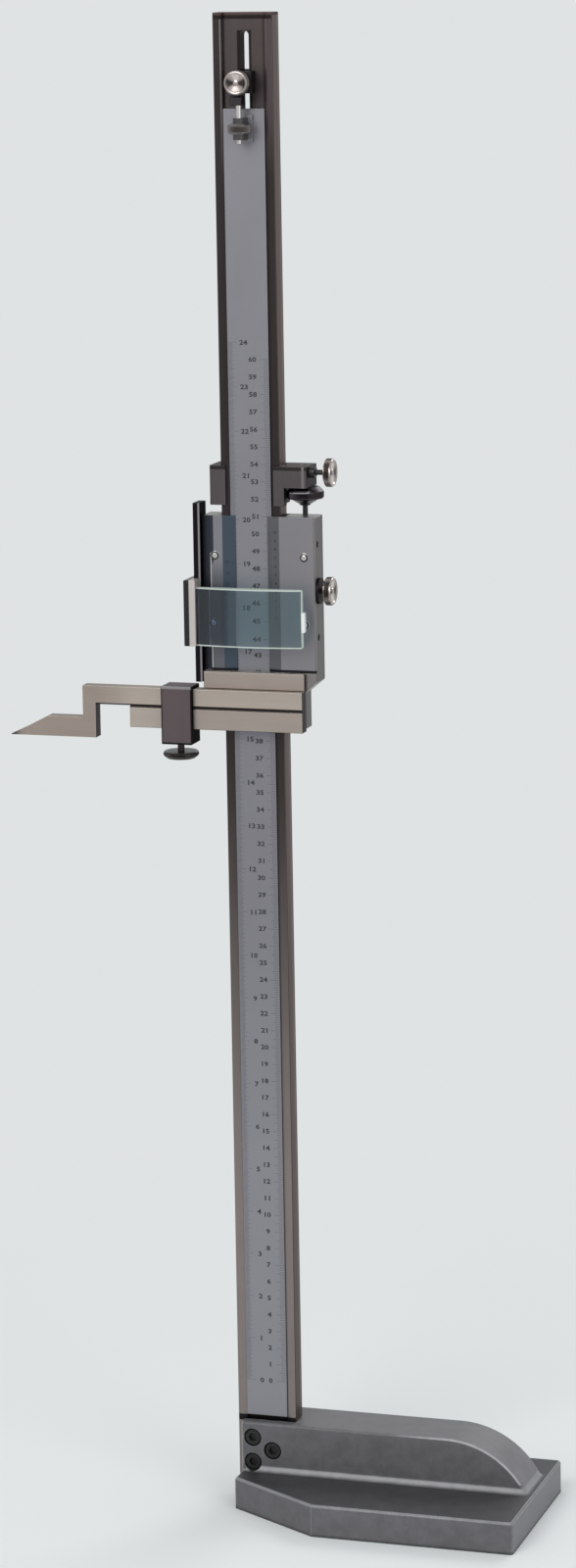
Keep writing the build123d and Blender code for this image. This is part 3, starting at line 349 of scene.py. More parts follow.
def slider_patches(finish):
    """Painted shade: a dark blue strip beside the inch vernier, and the right side darker with dark
    lines along its edges; and a painted highlight along the front edges.
    """
    front, side = finish.faces(Y, -1), finish.faces(X, 1)
    strip = front * finish.past(X, -23.9, -24.3)
    return (
        # painted shade: the dark blue strip beside the inch vernier
        (strip, painted_blue_shade),
        # painted shade: the right side darker than the front, with darker lines along its edges
        (side, (0.092, 0.083, 0.083)),
        (side * finish.line_at(Y, -7.9, 0.7), (0.045, 0.038, 0.038)),
        (side * finish.line_at(Y, 5.9, 0.5), (0.05, 0.042, 0.042)),
        # painted highlight along the front edges
        (finish.edges(0.5) * front * 0.5, (0.34, 0.31, 0.30)),
    )


def bar_patches(finish):
    """Painted shade on the right ends, the undersides and in the grooves of the joints, painted
    highlights along the edges, and a dark brazed point.
    """
    left = finish.past(X, -35, -70)
    low = finish.past(Z, 472.5, 471.5)
    foot = finish.past(X, -66, -96)
    chamfers = finish.rise(finish.off(Z, 471.9), 1.35 * mm, 1.1 * mm)
    slanted = finish.rise(finish.lean(Z).off_zero(), 0.3, 0.5)
    return (
        (left * low, (0.455, 0.40, 0.35)),
        (foot, (0.345, 0.29, 0.255)),
        # painted highlights along the edges
        (finish.edges(0.4) * 0.6, (0.60, 0.56, 0.53)),
        (finish.past(X, -138, -144), (0.10, 0.082, 0.075)),
        # painted shade in the grooves where the chamfers meet
        (chamfers * slanted, (0.085, 0.072, 0.066)),
        # painted shade on the right ends and the undersides
        (finish.faces(X, 1), (0.045, 0.038, 0.038)),
        (finish.faces(Z, -1), (0.06, 0.05, 0.05)),
    )


def clamp_patches(finish):
    """Painted shade on the edges and the right side of the scriber clamp, and painted light on its
    top.
    """
    front, dark = finish.faces(Y, -1), (0.014, 0.012, 0.013)
    return (
        # painted shade: dark lines along the edges and the borders of the front
        (finish.edges(0.7) * 0.9, dark),
        (front * finish.line_at(X, -51.9, 1.0), dark),
        (front * finish.line_at(Z, 451.2, 1.0), dark),
        (front * finish.line_at(X, -33.7, 0.8), dark),
        # painted light on the top
        (finish.past(Z, 482.6, 483.6), (0.30, 0.27, 0.275)),
        # painted shade on the right side
        (finish.faces(X, 1), (0.010, 0.009, 0.010)),
    )


def carrier_patches(finish):
    """Painted highlight on the front right corner, and painted shade on the right side and under
    the top edge of the carrier.
    """
    return (
        # painted shade on the right side
        (finish.faces(X, 1), dark_steel),
        # painted shade under the top edge
        (finish.within(Z, 610.2, 1.0) * finish.faces(Y, -1), (0.035, 0.030, 0.032)),
        # painted highlight on the rounded front right corner
        (finish.line_at(X, 31.9, 1.1) * finish.faces(Y, -1), (0.20, 0.175, 0.175)),
        (finish.faces(Z, 1), (0.085, 0.065, 0.06)),
    )


def rail_patches(finish):
    """Painted highlight: a thin light line along the front right edge of the rail."""
    return ((finish.line_at(X, -29.7, 0.6) * finish.faces(Y, -1), (0.42, 0.39, 0.42)),)


def screw_patches(finish):
    """Bright crown of a domed screw, inside a painted shadow ring."""
    radial = finish.attribute("radial")
    ring = finish.rise(radial, 1.3, 1.7) * finish.rise(radial, 2.55, 2.4)
    # painted shadow ring round the crown
    return ((ring, (0.05, 0.045, 0.045)),)


def washer_patches(finish):
    """Painted light: the outer face of the slider knob's washer is lighter than the rest."""
    return ((finish.faces(X, 1), (0.10, 0.085, 0.09)),)


def wheel_patches(finish):
    """Painted highlight: a bright band on the front of the feed wheel's upper bevel."""
    front = finish.rise(finish.off(X, 28.5), 7.5 * mm, 4.5 * mm)
    return ((finish.line_at(Z, 596.5, 1.0) * front, (0.46, 0.44, 0.47)),)


def bracket_patches(finish):
    """Darker ears above and below the knurled nut."""
    ears = finish.past(Y, -8.4, -8.6)
    return ((ears, dark_steel),)


def plate_finish(name, colour, rough, metal, patches=unmarked):
    """Satin chrome: very fine even grain with a faint cloud."""
    finish = Finish(name, Metallic=metal)
    grain = finish.noise(0.12)
    lines = finish.noise(0.4, along=Z)
    cloud = finish.noise(35)
    body = finish.laid_over(colour, patches(finish))
    finish.set(Base_Color=finish.times(body, grain * 0.07 + lines * 0.07 + cloud * 0.1 + 0.88))
    finish.set(Roughness=grain * 0.1 + cloud * 0.08 + (rough - 0.09))
    finish.bump(grain, 0.003, rounding=0.3)


def wing_patches(bevel, edge):
    """Painted shade on a vernier's graduated bevel, on its sides, at its upper and lower left and
    along its foot above the bar, and a painted highlight along the inch plate's left edge.
    """

    def patches(finish):
        tilt = finish.lean(X).off_zero()
        left = finish.within(X, -23.9, 0.35) * finish.within(Z, 527, 34)
        high_left = (finish.at(X) < -22.2 * mm) * finish.past(Z, 553, 557)
        low_left = finish.past(Z, 560, 545) * finish.past(X, -9, -10)
        return (
            # painted shade at the lower left
            (low_left, (0.125, 0.130, 0.145)),
            # painted shade: the dark blue strip at the upper left
            (high_left, painted_blue_shade),
            # painted shade on the graduated bevel and on the sides
            (finish.rise(tilt, 0.08, 0.16), bevel),
            (finish.rise(tilt, 0.4, 0.6), edge),
            # painted highlight along the inch plate's left edge
            (left, (0.50, 0.48, 0.46)),
            # painted shadow along the foot, above the upper bar
            (finish.within(Z, 493.6, 0.9), (0.012, 0.011, 0.012)),
        )

    return patches


def blasted_iron(name, colour, rough):
    """Blasted casting with a dark grey coat, pits and mottling, with painted light: highlights on
    the edges, the foot fillet, the arc and the plate's front lip, shade on the plate top, the front
    faces, the bottom and in the bores, and the right faces lighter.
    """
    finish = Finish(name, Metallic=0.25)
    pits = finish.rise(finish.noise(0.6, detail=4, rough=0.65), 0.3, 0.7)
    mottle = finish.rise(finish.noise(7, detail=4, rough=0.6), 0.3, 0.7)
    cloud = finish.noise(60)
    height = finish.at(Z)
    upward, frontal = finish.lean(Z), finish.lean(Y) * -1
    bearing = finish.rise(upward, 0.08, 0.25) * finish.rise(upward, 0.99, 0.93)
    rounded = finish.rise(frontal, 0.2, 0.45) * finish.rise(frontal, 0.97, 0.88)
    bores = finish.within(X, 0, 12.5) * finish.within(Z, 32, 13) * finish.within(Y, -3, 8.95)
    by_bores = finish.within(X, 0, 13) * finish.within(Z, 32, 14) * finish.rise(frontal, 0.5, 0.9)
    body = finish.laid_over(colour, (
        # painted shade on the plate top
        (finish.faces(Z, 1) * finish.past(Z, 30, 24), tint(colour, 0.32)),
        # painted shade on the front faces, painted light on the right faces
        (finish.faces(Y, -1), tint(colour, 0.8)),
        (finish.faces(X, 1), tint(colour, 1.2)),
        # painted highlights along the edges
        (finish.edges(1.4) * (pits * 0.4 + 0.6) * (1 - by_bores), (0.42, 0.42, 0.43)),
        # painted highlight on the foot fillet
        (finish.line_at(Z, 20.7, 2.0) * bearing, (0.29, 0.29, 0.30)),
        # painted highlights on the arc and on the plate's front lip
        (rounded * finish.past(X, 70, 110) * (height > 24 * mm) * 0.9, (0.40, 0.40, 0.41)),
        (rounded * finish.within(Z, 18.3, 0.8) * 0.9, (0.25, 0.25, 0.26)),
        # painted shade at the bottom, by the floor
        (finish.past(Z, 2.2, 0.4), tint(colour, 0.35)),
        # painted shade in the bores
        (bores, black),
    ))
    body = finish.times(body, pits * 0.16 + mottle * 0.24 + cloud * 0.16 + 0.72)
    finish.set(Base_Color=body)
    finish.set(Roughness=pits * 0.16 + mottle * 0.1 + (rough - 0.13))
    finish.bump(pits * 0.7 + mottle * 0.3, 0.03, rounding=0.6)


def turned_metal(name, colour, rough, spread=0.4, fan=0.0, patches=unmarked):
    """Bright turned metal: rings of tool marks round the axis, and bright and dark fans painted on
    the face as a reflection, with painted shade on the knurl.

    The rings follow the corners' "radial" and the fans their "fan", which turned() stores.
    """
    finish = Finish(name, Metallic=1.0)
    radial = finish.attribute("radial")
    rings_per_mm = 2.6
    sockets = {"W": radial * rings_per_mm, "Scale": 1.0, "Detail": 3.0}
    rings = finish.add("ShaderNodeTexNoise", {"noise_dimensions": "1D"}, sockets)
    marks = finish.noise(0.35, detail=4, rough=0.6)
    cloud = finish.noise(3, detail=3)
    share = marks * 0.25 + cloud * 0.3 + rings * 0.45
    body = finish.blend(share, tint(colour, 1 - spread), tint(colour, 1 + spread))
    body = finish.laid_over(body, patches(finish))
    if fan:
        on_face = finish.rise(radial, 1.2, 2.0) * finish.rise(radial, 6.6, 5.2)
        side_on = finish.attribute("fan")
        # painted reflection: bright and dark fans on the dished face, and painted shade on the
        # knurl teeth
        fans = (
            (radial < 0.01, tint(colour, 0.4)),
            (finish.rise(side_on, -0.1, -0.9) * on_face, tint(colour, 1.7)),
            (finish.rise(side_on, 0.1, 0.95) * on_face * fan, (0.03, 0.025, 0.025)),
        )
        body = finish.laid_over(body, fans)
    finish.set(Base_Color=body)
    finish.set(Roughness=marks * 0.12 + cloud * 0.1 + (rough - 0.11))
    finish.bump(rings * 0.7 + marks * 0.3, 0.03)


def black_oxide(name, colour, rough):
    """Blackened steel or paint: near-black with worn, slightly greyer patches."""
    finish = Finish(name, Metallic=0.4)
    wear = finish.noise(1.5, detail=5, rough=0.65)
    finish.set(Base_Color=finish.blend(wear, tint(colour, 0.6), tint(colour, 1.7)))
    finish.set(Roughness=wear * 0.2 + (rough - 0.1))
    finish.bump(wear, 0.006)


def crown_glass(name, colour, left_shade):
    """Clear glass with a blue-green cast, painted shade that makes it darker and bluer on the left,
    and a trace of dust in its gloss.
    """
    finish = Finish(name, Transmission_Weight=1.0, IOR=1.5)
    dust = finish.noise(3, detail=4)
    # painted shade: darker and bluer on the left
    left = finish.past(X, -9, -14)
    finish.set(Base_Color=finish.times(finish.blend(left, colour, left_shade), dust * 0.015 + 0.985))
    finish.set(Roughness=dust * 0.02)


def ground_edge(name, colour):
    """Frosted rim of the glass, which gathers the light of the whole lens."""
    finish = Finish(name, Transmission_Weight=0.35, IOR=1.5)
    frost = finish.noise(0.3, detail=3)
    finish.set(Base_Color=finish.blend(frost, tint(colour, 0.85), colour))
    finish.set(Roughness=frost * 0.2 + 0.4)
    finish.bump(frost, 0.02)


def moulded(name, colour, rough):
    """Moulded plastic with a fine skin."""
    finish = Finish(name)
    skin = finish.noise(0.3, detail=3)
    cloud = finish.noise(6)
    finish.set(Base_Color=finish.blend(cloud, tint(colour, 0.92), tint(colour, 1.06)))
    finish.set(Roughness=skin * 0.12 + (rough - 0.06))
    finish.bump(skin, 0.004)


blasted_iron("base_iron", (0.156, 0.153, 0.163), 0.5)
drawn_steel(
    "column_steel", (0.042, 0.034, 0.034), 0.36, 0.85, Z, spread=0.3, edge_on=0.45,
    patches=column_patches,
)
plate_finish("scale_steel", (0.235, 0.232, 0.255), 0.42, 0.7, patches=scale_patches)
drawn_steel("slider_steel", (0.24, 0.22, 0.215), 0.36, 0.85, Z, patches=slider_patches)
plate_finish(
    "vernier_steel", (0.235, 0.225, 0.24), 0.39, 0.75,
    wing_patches((0.12, 0.12, 0.13), (0.20, 0.185, 0.18))
)
plate_finish(
    "vernier_inch", (0.225, 0.225, 0.245), 0.39, 0.75,
    wing_patches((0.058, 0.080, 0.106), (0.05, 0.05, 0.06))
)
drawn_steel("bar_steel", (0.375, 0.32, 0.285), 0.42, 0.8, X, edge_on=0.6, patches=bar_patches)
drawn_steel("scriber_steel", (0.435, 0.375, 0.33), 0.42, 0.8, X, edge_on=0.6, patches=bar_patches)
drawn_steel("carbide", (0.36, 0.31, 0.28), 0.35, 0.8, X, patches=bar_patches)
drawn_steel("clamp_steel", (0.125, 0.10, 0.105), 0.42, 0.8, Z, edge_on=0.15, patches=clamp_patches)
drawn_steel(
    "carrier_steel", (0.098, 0.084, 0.088), 0.4, 0.85, Z, edge_on=0.5, patches=carrier_patches
)
turned_metal("bright_screw", (0.55, 0.53, 0.51), 0.3, spread=0.2)
turned_metal("vernier_screw", (0.62, 0.60, 0.60), 0.28, spread=0.25, patches=screw_patches)
drawn_steel("washer_steel", (0.016, 0.014, 0.015), 0.4, 0.8, Z, edge_on=0.4, patches=washer_patches)
black_oxide("black_screw", (0.016, 0.015, 0.015), 0.4)
drawn_steel("anchor_steel", (0.045, 0.040, 0.044), 0.4, 0.8, Z, edge_on=0.4)
plate_finish("bracket_steel", (0.25, 0.25, 0.27), 0.42, 0.7, patches=bracket_patches)
turned_metal("knob_steel", (0.42, 0.37, 0.35), 0.2, spread=0.6, fan=0.95)
drawn_steel("rail_steel", (0.014, 0.012, 0.014), 0.3, 0.9, Z, edge_on=0.3, patches=rail_patches)
drawn_steel("slide_metal", (0.55, 0.50, 0.48), 0.4, 0.6, Z)
black_oxide("plate_black", (0.012, 0.012, 0.013), 0.35)
crown_glass("lens_glass", (0.64, 0.80, 0.85), (0.31, 0.39, 0.48))
ground_edge("lens_edge", (0.80, 0.90, 0.82))
moulded("grip_white", (0.80, 0.80, 0.78), 0.35)
moulded("ink", (0.02, 0.02, 0.022), 0.5)
turned_metal("adjust_steel", (0.21, 0.19, 0.19), 0.32)
turned_metal("wheel_black", (0.055, 0.046, 0.054), 0.32, patches=wheel_patches)
turned_metal("clamp_dark", (0.05, 0.042, 0.042), 0.35)

slot_of = {entry["node"]: entry["material_slot"] for entry in frame["record"]["subparts"]}
finish_of = {
    "vernier_plate_inch": "vernier_inch",
    "scriber": "scriber_steel",
    "carrier": "carrier_steel",
    "scale_bracket": "bracket_steel",
    "feed_screw": "black_screw",
    "carrier_screw_collar": "black_screw",
    "feed_wheel_retainer": "black_screw",
    "slider_clamp_washer": "washer_steel",
}
for node, slot_name in slot_of.items():
    for place in frame["nodes"][node].material_slots:
        place.material = finishes[finish_of.get(node, slot_name)]

# --- ways of making pieces ---

to_front, to_rear, to_left, to_right = (0, -1, 0), (0, 1, 0), (-1, 0, 0), (1, 0, 0)
upright = ((0, 0, 1), to_rear)  # out and up, for what stands on a level face


def laid_on(corner, out, up=(0, 0, 1)):
    """Matrix that lays a drawing in mm, its Z pointing out of a face, with its origin at corner."""
    out, up = Vector(out), Vector(up)
    across = up.cross(out)
    turn = Matrix((across, up, out)).transposed().to_4x4()
    return Matrix.Translation(Vector(corner) * mm) @ turn @ Matrix.Scale(mm, 4)


def put(name, mesh, finish, body, *nodes):
    """Hangs a finished mesh on its body, in place of the CAD nodes that are named."""
    if not mesh.materials:
        mesh.materials.append(finishes[finish])
    piece = linked(name, mesh)
    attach(piece, body)
    if nodes:
        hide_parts(*nodes)


def from_bmesh(name, shape, place=None, sharp=35):
    """Plain mesh with outward faces, smooth but for edges sharper than an angle in degrees."""
    bmesh.ops.remove_doubles(shape, verts=shape.verts, dist=1e-5)
    bmesh.ops.recalc_face_normals(shape, faces=shape.faces)
    mesh = bpy.data.meshes.new(name)
    shape.to_mesh(mesh)
    shape.free()
    if place:
        mesh.transform(place)
    mesh.polygons.foreach_set("use_smooth", [True] * len(mesh.polygons))
    mesh.set_sharp_from_angle(angle=math.radians(sharp))
    return mesh


def wall(shape, low, high, material=0):
    """Faces between two rings of corners, one of which may be a single corner."""
    steps = max(len(low), len(high))
    for step in range(steps):
        after = (step + 1) % steps
        corners = low[step % len(low)], low[after % len(low)]
        corners += high[after % len(high)], high[step % len(high)]
        shape.faces.new(list(dict.fromkeys(corners))).material_index = material


def turned(profile, steps=72):
    """Profile of (radius, height) points turned about Z: open at the axis, or a closed ring.

    Each corner keeps its radius as "radial", and "fan" goes from -1 to 1 twice round the axis.
    """
    shape = bmesh.new()
    radial, fan = (shape.verts.layers.float.new(word) for word in ("radial", "fan"))
    rings = []
    for radius, height in profile:
        ring = []
        for step in range(steps if radius else 1):
            angle = 2 * math.pi * step / steps
            corner = shape.verts.new((radius * math.cos(angle), radius * math.sin(angle), height))
            corner[radial] = radius
            corner[fan] = math.cos(2 * angle) if radius else 0
            ring.append(corner)
        rings.append(ring)
    pairs = list(zip(rings, rings[1:]))
    if len(rings[0]) > 1 and len(rings[-1]) > 1:
        pairs.append((rings[-1], rings[0]))
    for low, high in pairs:
        wall(shape, low, high)
    return shape


def joined(name, *meshes):
    """One mesh of several; those after the first take its first material."""
    shape = bmesh.new()
    whole = bpy.data.meshes.new(name)
    for mesh in meshes:
        if mesh is not meshes[0]:
            mesh.polygons.foreach_set("material_index", [0] * len(mesh.polygons))
        shape.from_mesh(mesh)
    shape.to_mesh(whole)
    shape.free()
    for material in meshes[0].materials:
        whole.materials.append(material)
    return whole


class Shape(Nodes):
    """A geometry node tree with named sizes; grown() sets them and returns the plain mesh."""

    def __init__(self, name, **sizes):
        super().__init__(bpy.data.node_groups.new(name, "GeometryNodeTree"))
        self.tree.is_modifier = True
        sockets = self.tree.interface
        sockets.new_socket("Geometry", in_out="OUTPUT", socket_type="NodeSocketGeometry")
        for size, kind in {"Geometry": "Geometry", "Finish": "Material", **sizes}.items():
            words, kind = size.replace("_", " "), f"NodeSocket{kind}"
            sockets.new_socket(words, in_out="INPUT", socket_type=kind)
        self.given = self.add("NodeGroupInput")

    def size(self, name):
        return self.also(self.given, name)

    def vector(self, x=0.0, y=0.0, z=0.0):
        return self.add("ShaderNodeCombineXYZ", sockets={0: x, 1: y, 2: z})

    def end(self, pieces):
        whole = self.add("GeometryNodeRealizeInstances", sockets={0: pieces})
        sockets = {"Geometry": whole, "Material": self.size("Finish")}
        dressed = self.add("GeometryNodeSetMaterial", sockets=sockets)
        self.feed(self.tree.nodes.new("NodeGroupOutput").inputs[0], dressed)
        return self

    def end_with(self, piece, points, **layout):
        """Ends the tree with a piece at each point."""
        sockets = {"Points": points, "Instance": piece, **layout}
        return self.end(self.add("GeometryNodeInstanceOnPoints", sockets=sockets))

    def grown(self, finish, start=None, **sizes):
        values = {name.replace("_", " "): value for name, value in sizes.items()}
        values["Finish"] = finishes[finish]
        holder = linked(self.tree.name, start or bpy.data.meshes.new(self.tree.name))
        change = holder.modifiers.new("shape", "NODES")
        change.node_group = self.tree
        for socket in self.tree.interface.items_tree:
            if socket.name in values:
                change[socket.identifier] = values[socket.name]
        return plain_mesh(holder)


def graduation_lines():
    """Lines set out upwards from the origin, each along +X, some of them longer."""
    shape = Shape(
        "graduation_lines", Lines="Int", Pitch="Float", Short="Float", Middle="Float", Long="Float",
        Middle_Every="Int", Long_Every="Int", Line_Width="Float", Proud="Float",
    )
    short, middle, long = (shape.size(name) for name in ("Short", "Middle", "Long"))
    row = shape.add(
        "GeometryNodeMeshLine",
        {"mode": "OFFSET"},
        {"Count": shape.size("Lines"), "Offset": shape.vector(y=shape.size("Pitch"))},
    )
    index = shape.add("GeometryNodeInputIndex")
    at_middle = (index % shape.size("Middle Every")) < 0.5
    at_long = (index % shape.size("Long Every")) < 0.5
    length = short + at_middle * (middle - short) + at_long * (long - middle)
    bar = shape.add("GeometryNodeMeshCube", sockets={"Size": (1, 1, 1)})
    bar = shape.add("GeometryNodeTransform", sockets={"Geometry": bar, "Translation": (0.5, 0, 0)})
    thickness = shape.size("Proud") * 2
    return shape.end_with(bar, row, Scale=shape.vector(length, shape.size("Line Width"), thickness))


def knurled_band():
    """Rows of small pyramids round a rim; each row starts half a step on from the one before."""
    shape = Shape(
        "knurled_band", Radius="Float", Around="Int", Rows="Int", Width="Float", Tooth="Float"
    )
    radius, around, rows = (shape.size(name) for name in ("Radius", "Around", "Rows"))
    index = shape.add("GeometryNodeInputIndex")
    row = (index / around).floor()
    angle = (index % around + (row % 2) * 0.5) * (2 * math.pi) / around
    place = shape.vector(
        radius * angle.maths("COSINE", angle),
        radius * angle.maths("SINE", angle),
        ((row + 0.5) / rows - 0.5) * shape.size("Width"),
    )
    points = shape.add("GeometryNodeMeshLine", sockets={"Count": around * rows})
    points = shape.add("GeometryNodeSetPosition", sockets={"Geometry": points, "Position": place})
    foot, depth = radius * math.pi / around, shape.size("Tooth")
    sockets = {"Vertices": 4, "Radius Top": 0.0, "Radius Bottom": foot, "Depth": depth}
    tooth = shape.add("GeometryNodeMeshCone", sockets=sockets)
    return shape.end_with(tooth, points, Rotation=shape.vector(0.0, math.pi / 2, angle))


def thread_ridge():
    """Ridge of a screw thread, wound up about Z from the origin."""
    shape = Shape("thread_ridge", Radius="Float", Pitch="Float", Length="Float", Ridge="Float")
    radius, length = shape.size("Radius"), shape.size("Length")
    turns = length / shape.size("Pitch")
    sockets = {"Resolution": 16, "Rotations": turns, "Height": length}
    sockets |= {"Start Radius": radius, "End Radius": radius}
    helix = shape.add("GeometryNodeCurveSpiral", sockets=sockets)
    section = shape.add(
        "GeometryNodeCurvePrimitiveCircle", sockets={"Resolution": 4, "Radius": shape.size("Ridge")}
    )
    sockets = {"Curve": helix, "Profile Curve": section, "Fill Caps": True}
    return shape.end(shape.add("GeometryNodeCurveToMesh", sockets=sockets))


def screws_set_out():
    """One screw at each point of the starting mesh, its slot left at any angle."""
    shape = Shape("screws_set_out", Screw="Object", Seed="Int")
    screw = shape.add(
        "GeometryNodeObjectInfo", sockets={"Object": shape.size("Screw")}, output="Geometry"
    )
    sockets = {2: 0.0, 3: 2 * math.pi, 8: shape.size("Seed")}
    angle = shape.add("FunctionNodeRandomValue", {"data_type": "FLOAT"}, sockets, output=1)
    return shape.end_with(screw, shape.size("Geometry"), Rotation=shape.vector(z=angle))


lines_tree, knurl_tree = graduation_lines(), knurled_band()
thread_tree, screw_tree = thread_ridge(), screws_set_out()

# --- graduations and numbers ---

inch = 25.4
scale_face = -6.1
scale_edge = 11.95  # where the lines start, from the middle of the scale
scale_zero = 72.17
reading = 452.4
vernier_zero = scale_zero + reading
bevel_angle = math.atan2(1.8, 7.45)
bevel_foot = -6.5  # y of the verniers' thin edges
metric_foot, inch_foot = 9.8, -9.3
ink_height = 0.02


def graduations(name, body, place, count, pitch, lengths, every, thick=0.14):
    """Row of short lines, with middle and long ones as often as the pair every says."""
    short, middle, long = lengths
    row = lines_tree.grown(
        "ink", Lines=count, Pitch=pitch, Short=short, Middle=middle, Long=long,
        Middle_Every=every[0], Long_Every=every[1], Line_Width=thick, Proud=ink_height,
    )
    row.transform(place)
    put(name, row, "ink", body)


def numbers(name, body, place, height, marks):
    """Raised numbers on a face; marks are (text, x, y), with x and y at a number's middle."""
    bold, wide = 0.03, 1.25
    shape = bmesh.new()
    for text, x, y in marks:
        curve = bpy.data.curves.new("numbers", "FONT")
        curve.body = text
        curve.resolution_u = 2
        curve.extrude = 0.01
        curve.offset = bold
        digits = plain_mesh(linked("numbers", curve))
        corners = [corner.co.copy() for corner in digits.vertices]
        left, right = min(c.x for c in corners), max(c.x for c in corners)
        low, high = min(c.y for c in corners), max(c.y for c in corners)
        size = height / (high - low)
        middle = Vector(((left + right) / 2, (low + high) / 2, 0))
        digits.transform(
            Matrix.Translation((x, y, 0))
            @ Matrix.Diagonal((size * wide, size, size, 1))
            @ Matrix.Translation(-middle)
        )
        shape.from_mesh(digits)
    for vertex in shape.verts:
        vertex.co.z = math.copysign(ink_height, vertex.co.z)
    put(name, from_bmesh("numbers", shape, place), "ink", body)


def mark_scale():
    right_edge = laid_on((scale_edge, scale_face, scale_zero), to_rear)
    left_edge = laid_on((-scale_edge, scale_face, scale_zero), to_front)
    middle = laid_on((0, scale_face, scale_zero), to_front)
    centimetres = [(str(n), 2.5, 10 * n) for n in range(61)]
    inches = [(str(n), -2.7, inch * n) for n in range(25)]
    graduations(
        "scale_lines_metric", "main_scale", right_edge, 601, 1.0, (2.8, 4.0, 5.4), (5, 10)
    )
    graduations(
        "scale_lines_inch", "main_scale", left_edge, 961, inch / 40, (2.6, 3.8, 5.4), (4, 40), 0.12
    )
    numbers("scale_numbers_metric", "main_scale", middle, 2.9, centimetres)
    numbers("scale_numbers_inch", "main_scale", middle, 2.9, inches)


def mark_verniers():
    lean, rise = math.sin(bevel_angle), math.cos(bevel_angle)
    metric_face = laid_on((metric_foot, bevel_foot, vernier_zero), (-lean, -rise, 0))
    inch_face = laid_on((inch_foot, bevel_foot, vernier_zero), (lean, -rise, 0))
    inch_from_foot = laid_on((inch_foot, bevel_foot, vernier_zero), (-lean, rise, 0))
    metric_step, inch_step = 0.98, 1.225 * inch / 25
    lengths, every = (2.2, 3.0, 3.0), (5, 5)
    tenths = [(str(n), 5.0, 5 * metric_step * n) for n in range(11)]
    fives = [(str(n), -5.0, inch_step * n) for n in range(0, 26, 5)]
    graduations("vernier_lines_metric", "slider", metric_face, 51, metric_step, lengths, every)
    graduations("vernier_lines_inch", "slider", inch_from_foot, 26, inch_step, lengths, every)
    numbers("vernier_numbers_metric", "slider", metric_face, 1.7, tenths)
    numbers("vernier_numbers_inch", "slider", inch_face, 1.7, fives)


mark_scale()
mark_verniers()

# --- knobs and wheels ---


def span(node):
    """Lowest and highest corner of a CAD node, and its middle, in mm."""
    low, high = (Vector(corner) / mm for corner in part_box(node))
    return low, high, (low + high) / 2


def knurled(radius, low, high, tooth, pitch, finish):
    """Band of knurling whose crests reach radius, between two heights."""
    around = round(2 * math.pi * radius / pitch)
    half = math.pi * (radius - tooth) / around
    rows = max(1, int((high - low) / half) - 1)
    band = knurl_tree.grown(
        finish, Radius=radius - tooth, Around=around, Rows=rows, Width=rows * half, Tooth=tooth
    )
    band.transform(Matrix.Translation((0, 0, (low + high) / 2)))
    return band


def dished_knob(name, node, out, shank, neck, thickness, finish="knob_steel"):
    """Clamp knob with a hollow turned face, a knurled rim and its screw, all in one piece."""
    low, high, middle = span(node)
    axis = Vector(out)
    along = [corner.dot(axis) for corner in (low, high)]
    tip, face = min(along), max(along)
    radius = max((high - low)[a] for a in range(3) if not axis[a]) / 2
    origin = middle - axis * middle.dot(axis)
    back = face - thickness
    tooth, pitch = 0.35, 0.75
    core = radius - tooth
    neck_radius, neck_end = neck
    profile = [
        (0, tip), (shank - 0.35, tip), (shank, tip + 0.35), (shank, neck_end),
        (neck_radius, neck_end), (neck_radius, back), (core - 0.9, back), (core, back + 0.5),
        (core, face - 0.6), (core - 0.3, face - 0.12), (core - 0.8, face),
        (core - 1.3, face - 0.1), (core - 2.0, face - 0.75), (1.9, face - 1.0),
        (1.5, face - 0.55), (0.9, face - 0.4), (0, face - 0.38),
    ]
    place = laid_on(origin, out)
    knob = from_bmesh(name, turned(profile), sharp=30)
    knob.materials.append(finishes[finish])
    knob.materials.append(finishes["black_screw"])
    for patch in knob.polygons:
        reach = max(math.hypot(*knob.vertices[corner].co.xy) for corner in patch.vertices)
        if reach < shank + 0.1 and patch.center.z < back:
            patch.material_index = 1
    knob.transform(place)
    rim = knurled(radius, back + 0.5, face - 0.6, tooth, pitch, finish)
    rim.transform(place)
    put(name, joined(name, knob, rim), finish, node, node)


def wheel(name, node, profile, radius, low, high, finish, pitch=0.9, tooth=0.3):
    """Knurled wheel with an upright axis; the profile is given from the node's own foot."""
    bottom, _, middle = span(node)
    place = laid_on((middle.x, middle.y, bottom.z), *upright)
    disc = from_bmesh(name, turned(profile), place, sharp=30)
    disc.materials.append(finishes[finish])
    rim = knurled(radius, low, high, tooth, pitch, finish)
    rim.transform(place)
    put(name, joined(name, disc, rim), finish, node, node)


dished_knob("scale_clamp_knob", "scale_clamp_screw", to_front, 2.0, (3.8, 10.1), 5.0)
dished_knob("carrier_clamp_knob", "carrier_clamp_screw", to_right, 1.5, (2.2, 42.6), 4.7)
dished_knob("slider_clamp_knob", "slider_clamp_screw", to_right, 1.5, (2.2, 41.2), 4.7)
wheel(
    "scale_adjust_nut", "scale_adjust_wheel",
    [(1.55, 0), (4.2, 0), (4.6, 0.5), (5.7, 0.5), (6.25, 1.0), (6.25, 5.2), (5.7, 5.7), (4.6, 5.7),
     (4.2, 6.2), (1.55, 6.2)],
    6.6, 1.0, 5.2, "adjust_steel", pitch=0.75, tooth=0.35,
)
wheel(
    "feed_wheel_knurled", "feed_wheel",
    [(1.55, 0), (2.9, 0), (3.2, 0.3), (3.2, 0.6), (8.5, 3.8), (10.2, 3.9), (10.6, 4.3), (10.6, 8.2),
     (8.6, 10.3), (8.2, 10.6), (2.2, 10.6), (2.2, 23.1), (1.55, 23.1)],
    10.9, 4.3, 8.2, "wheel_black",
)
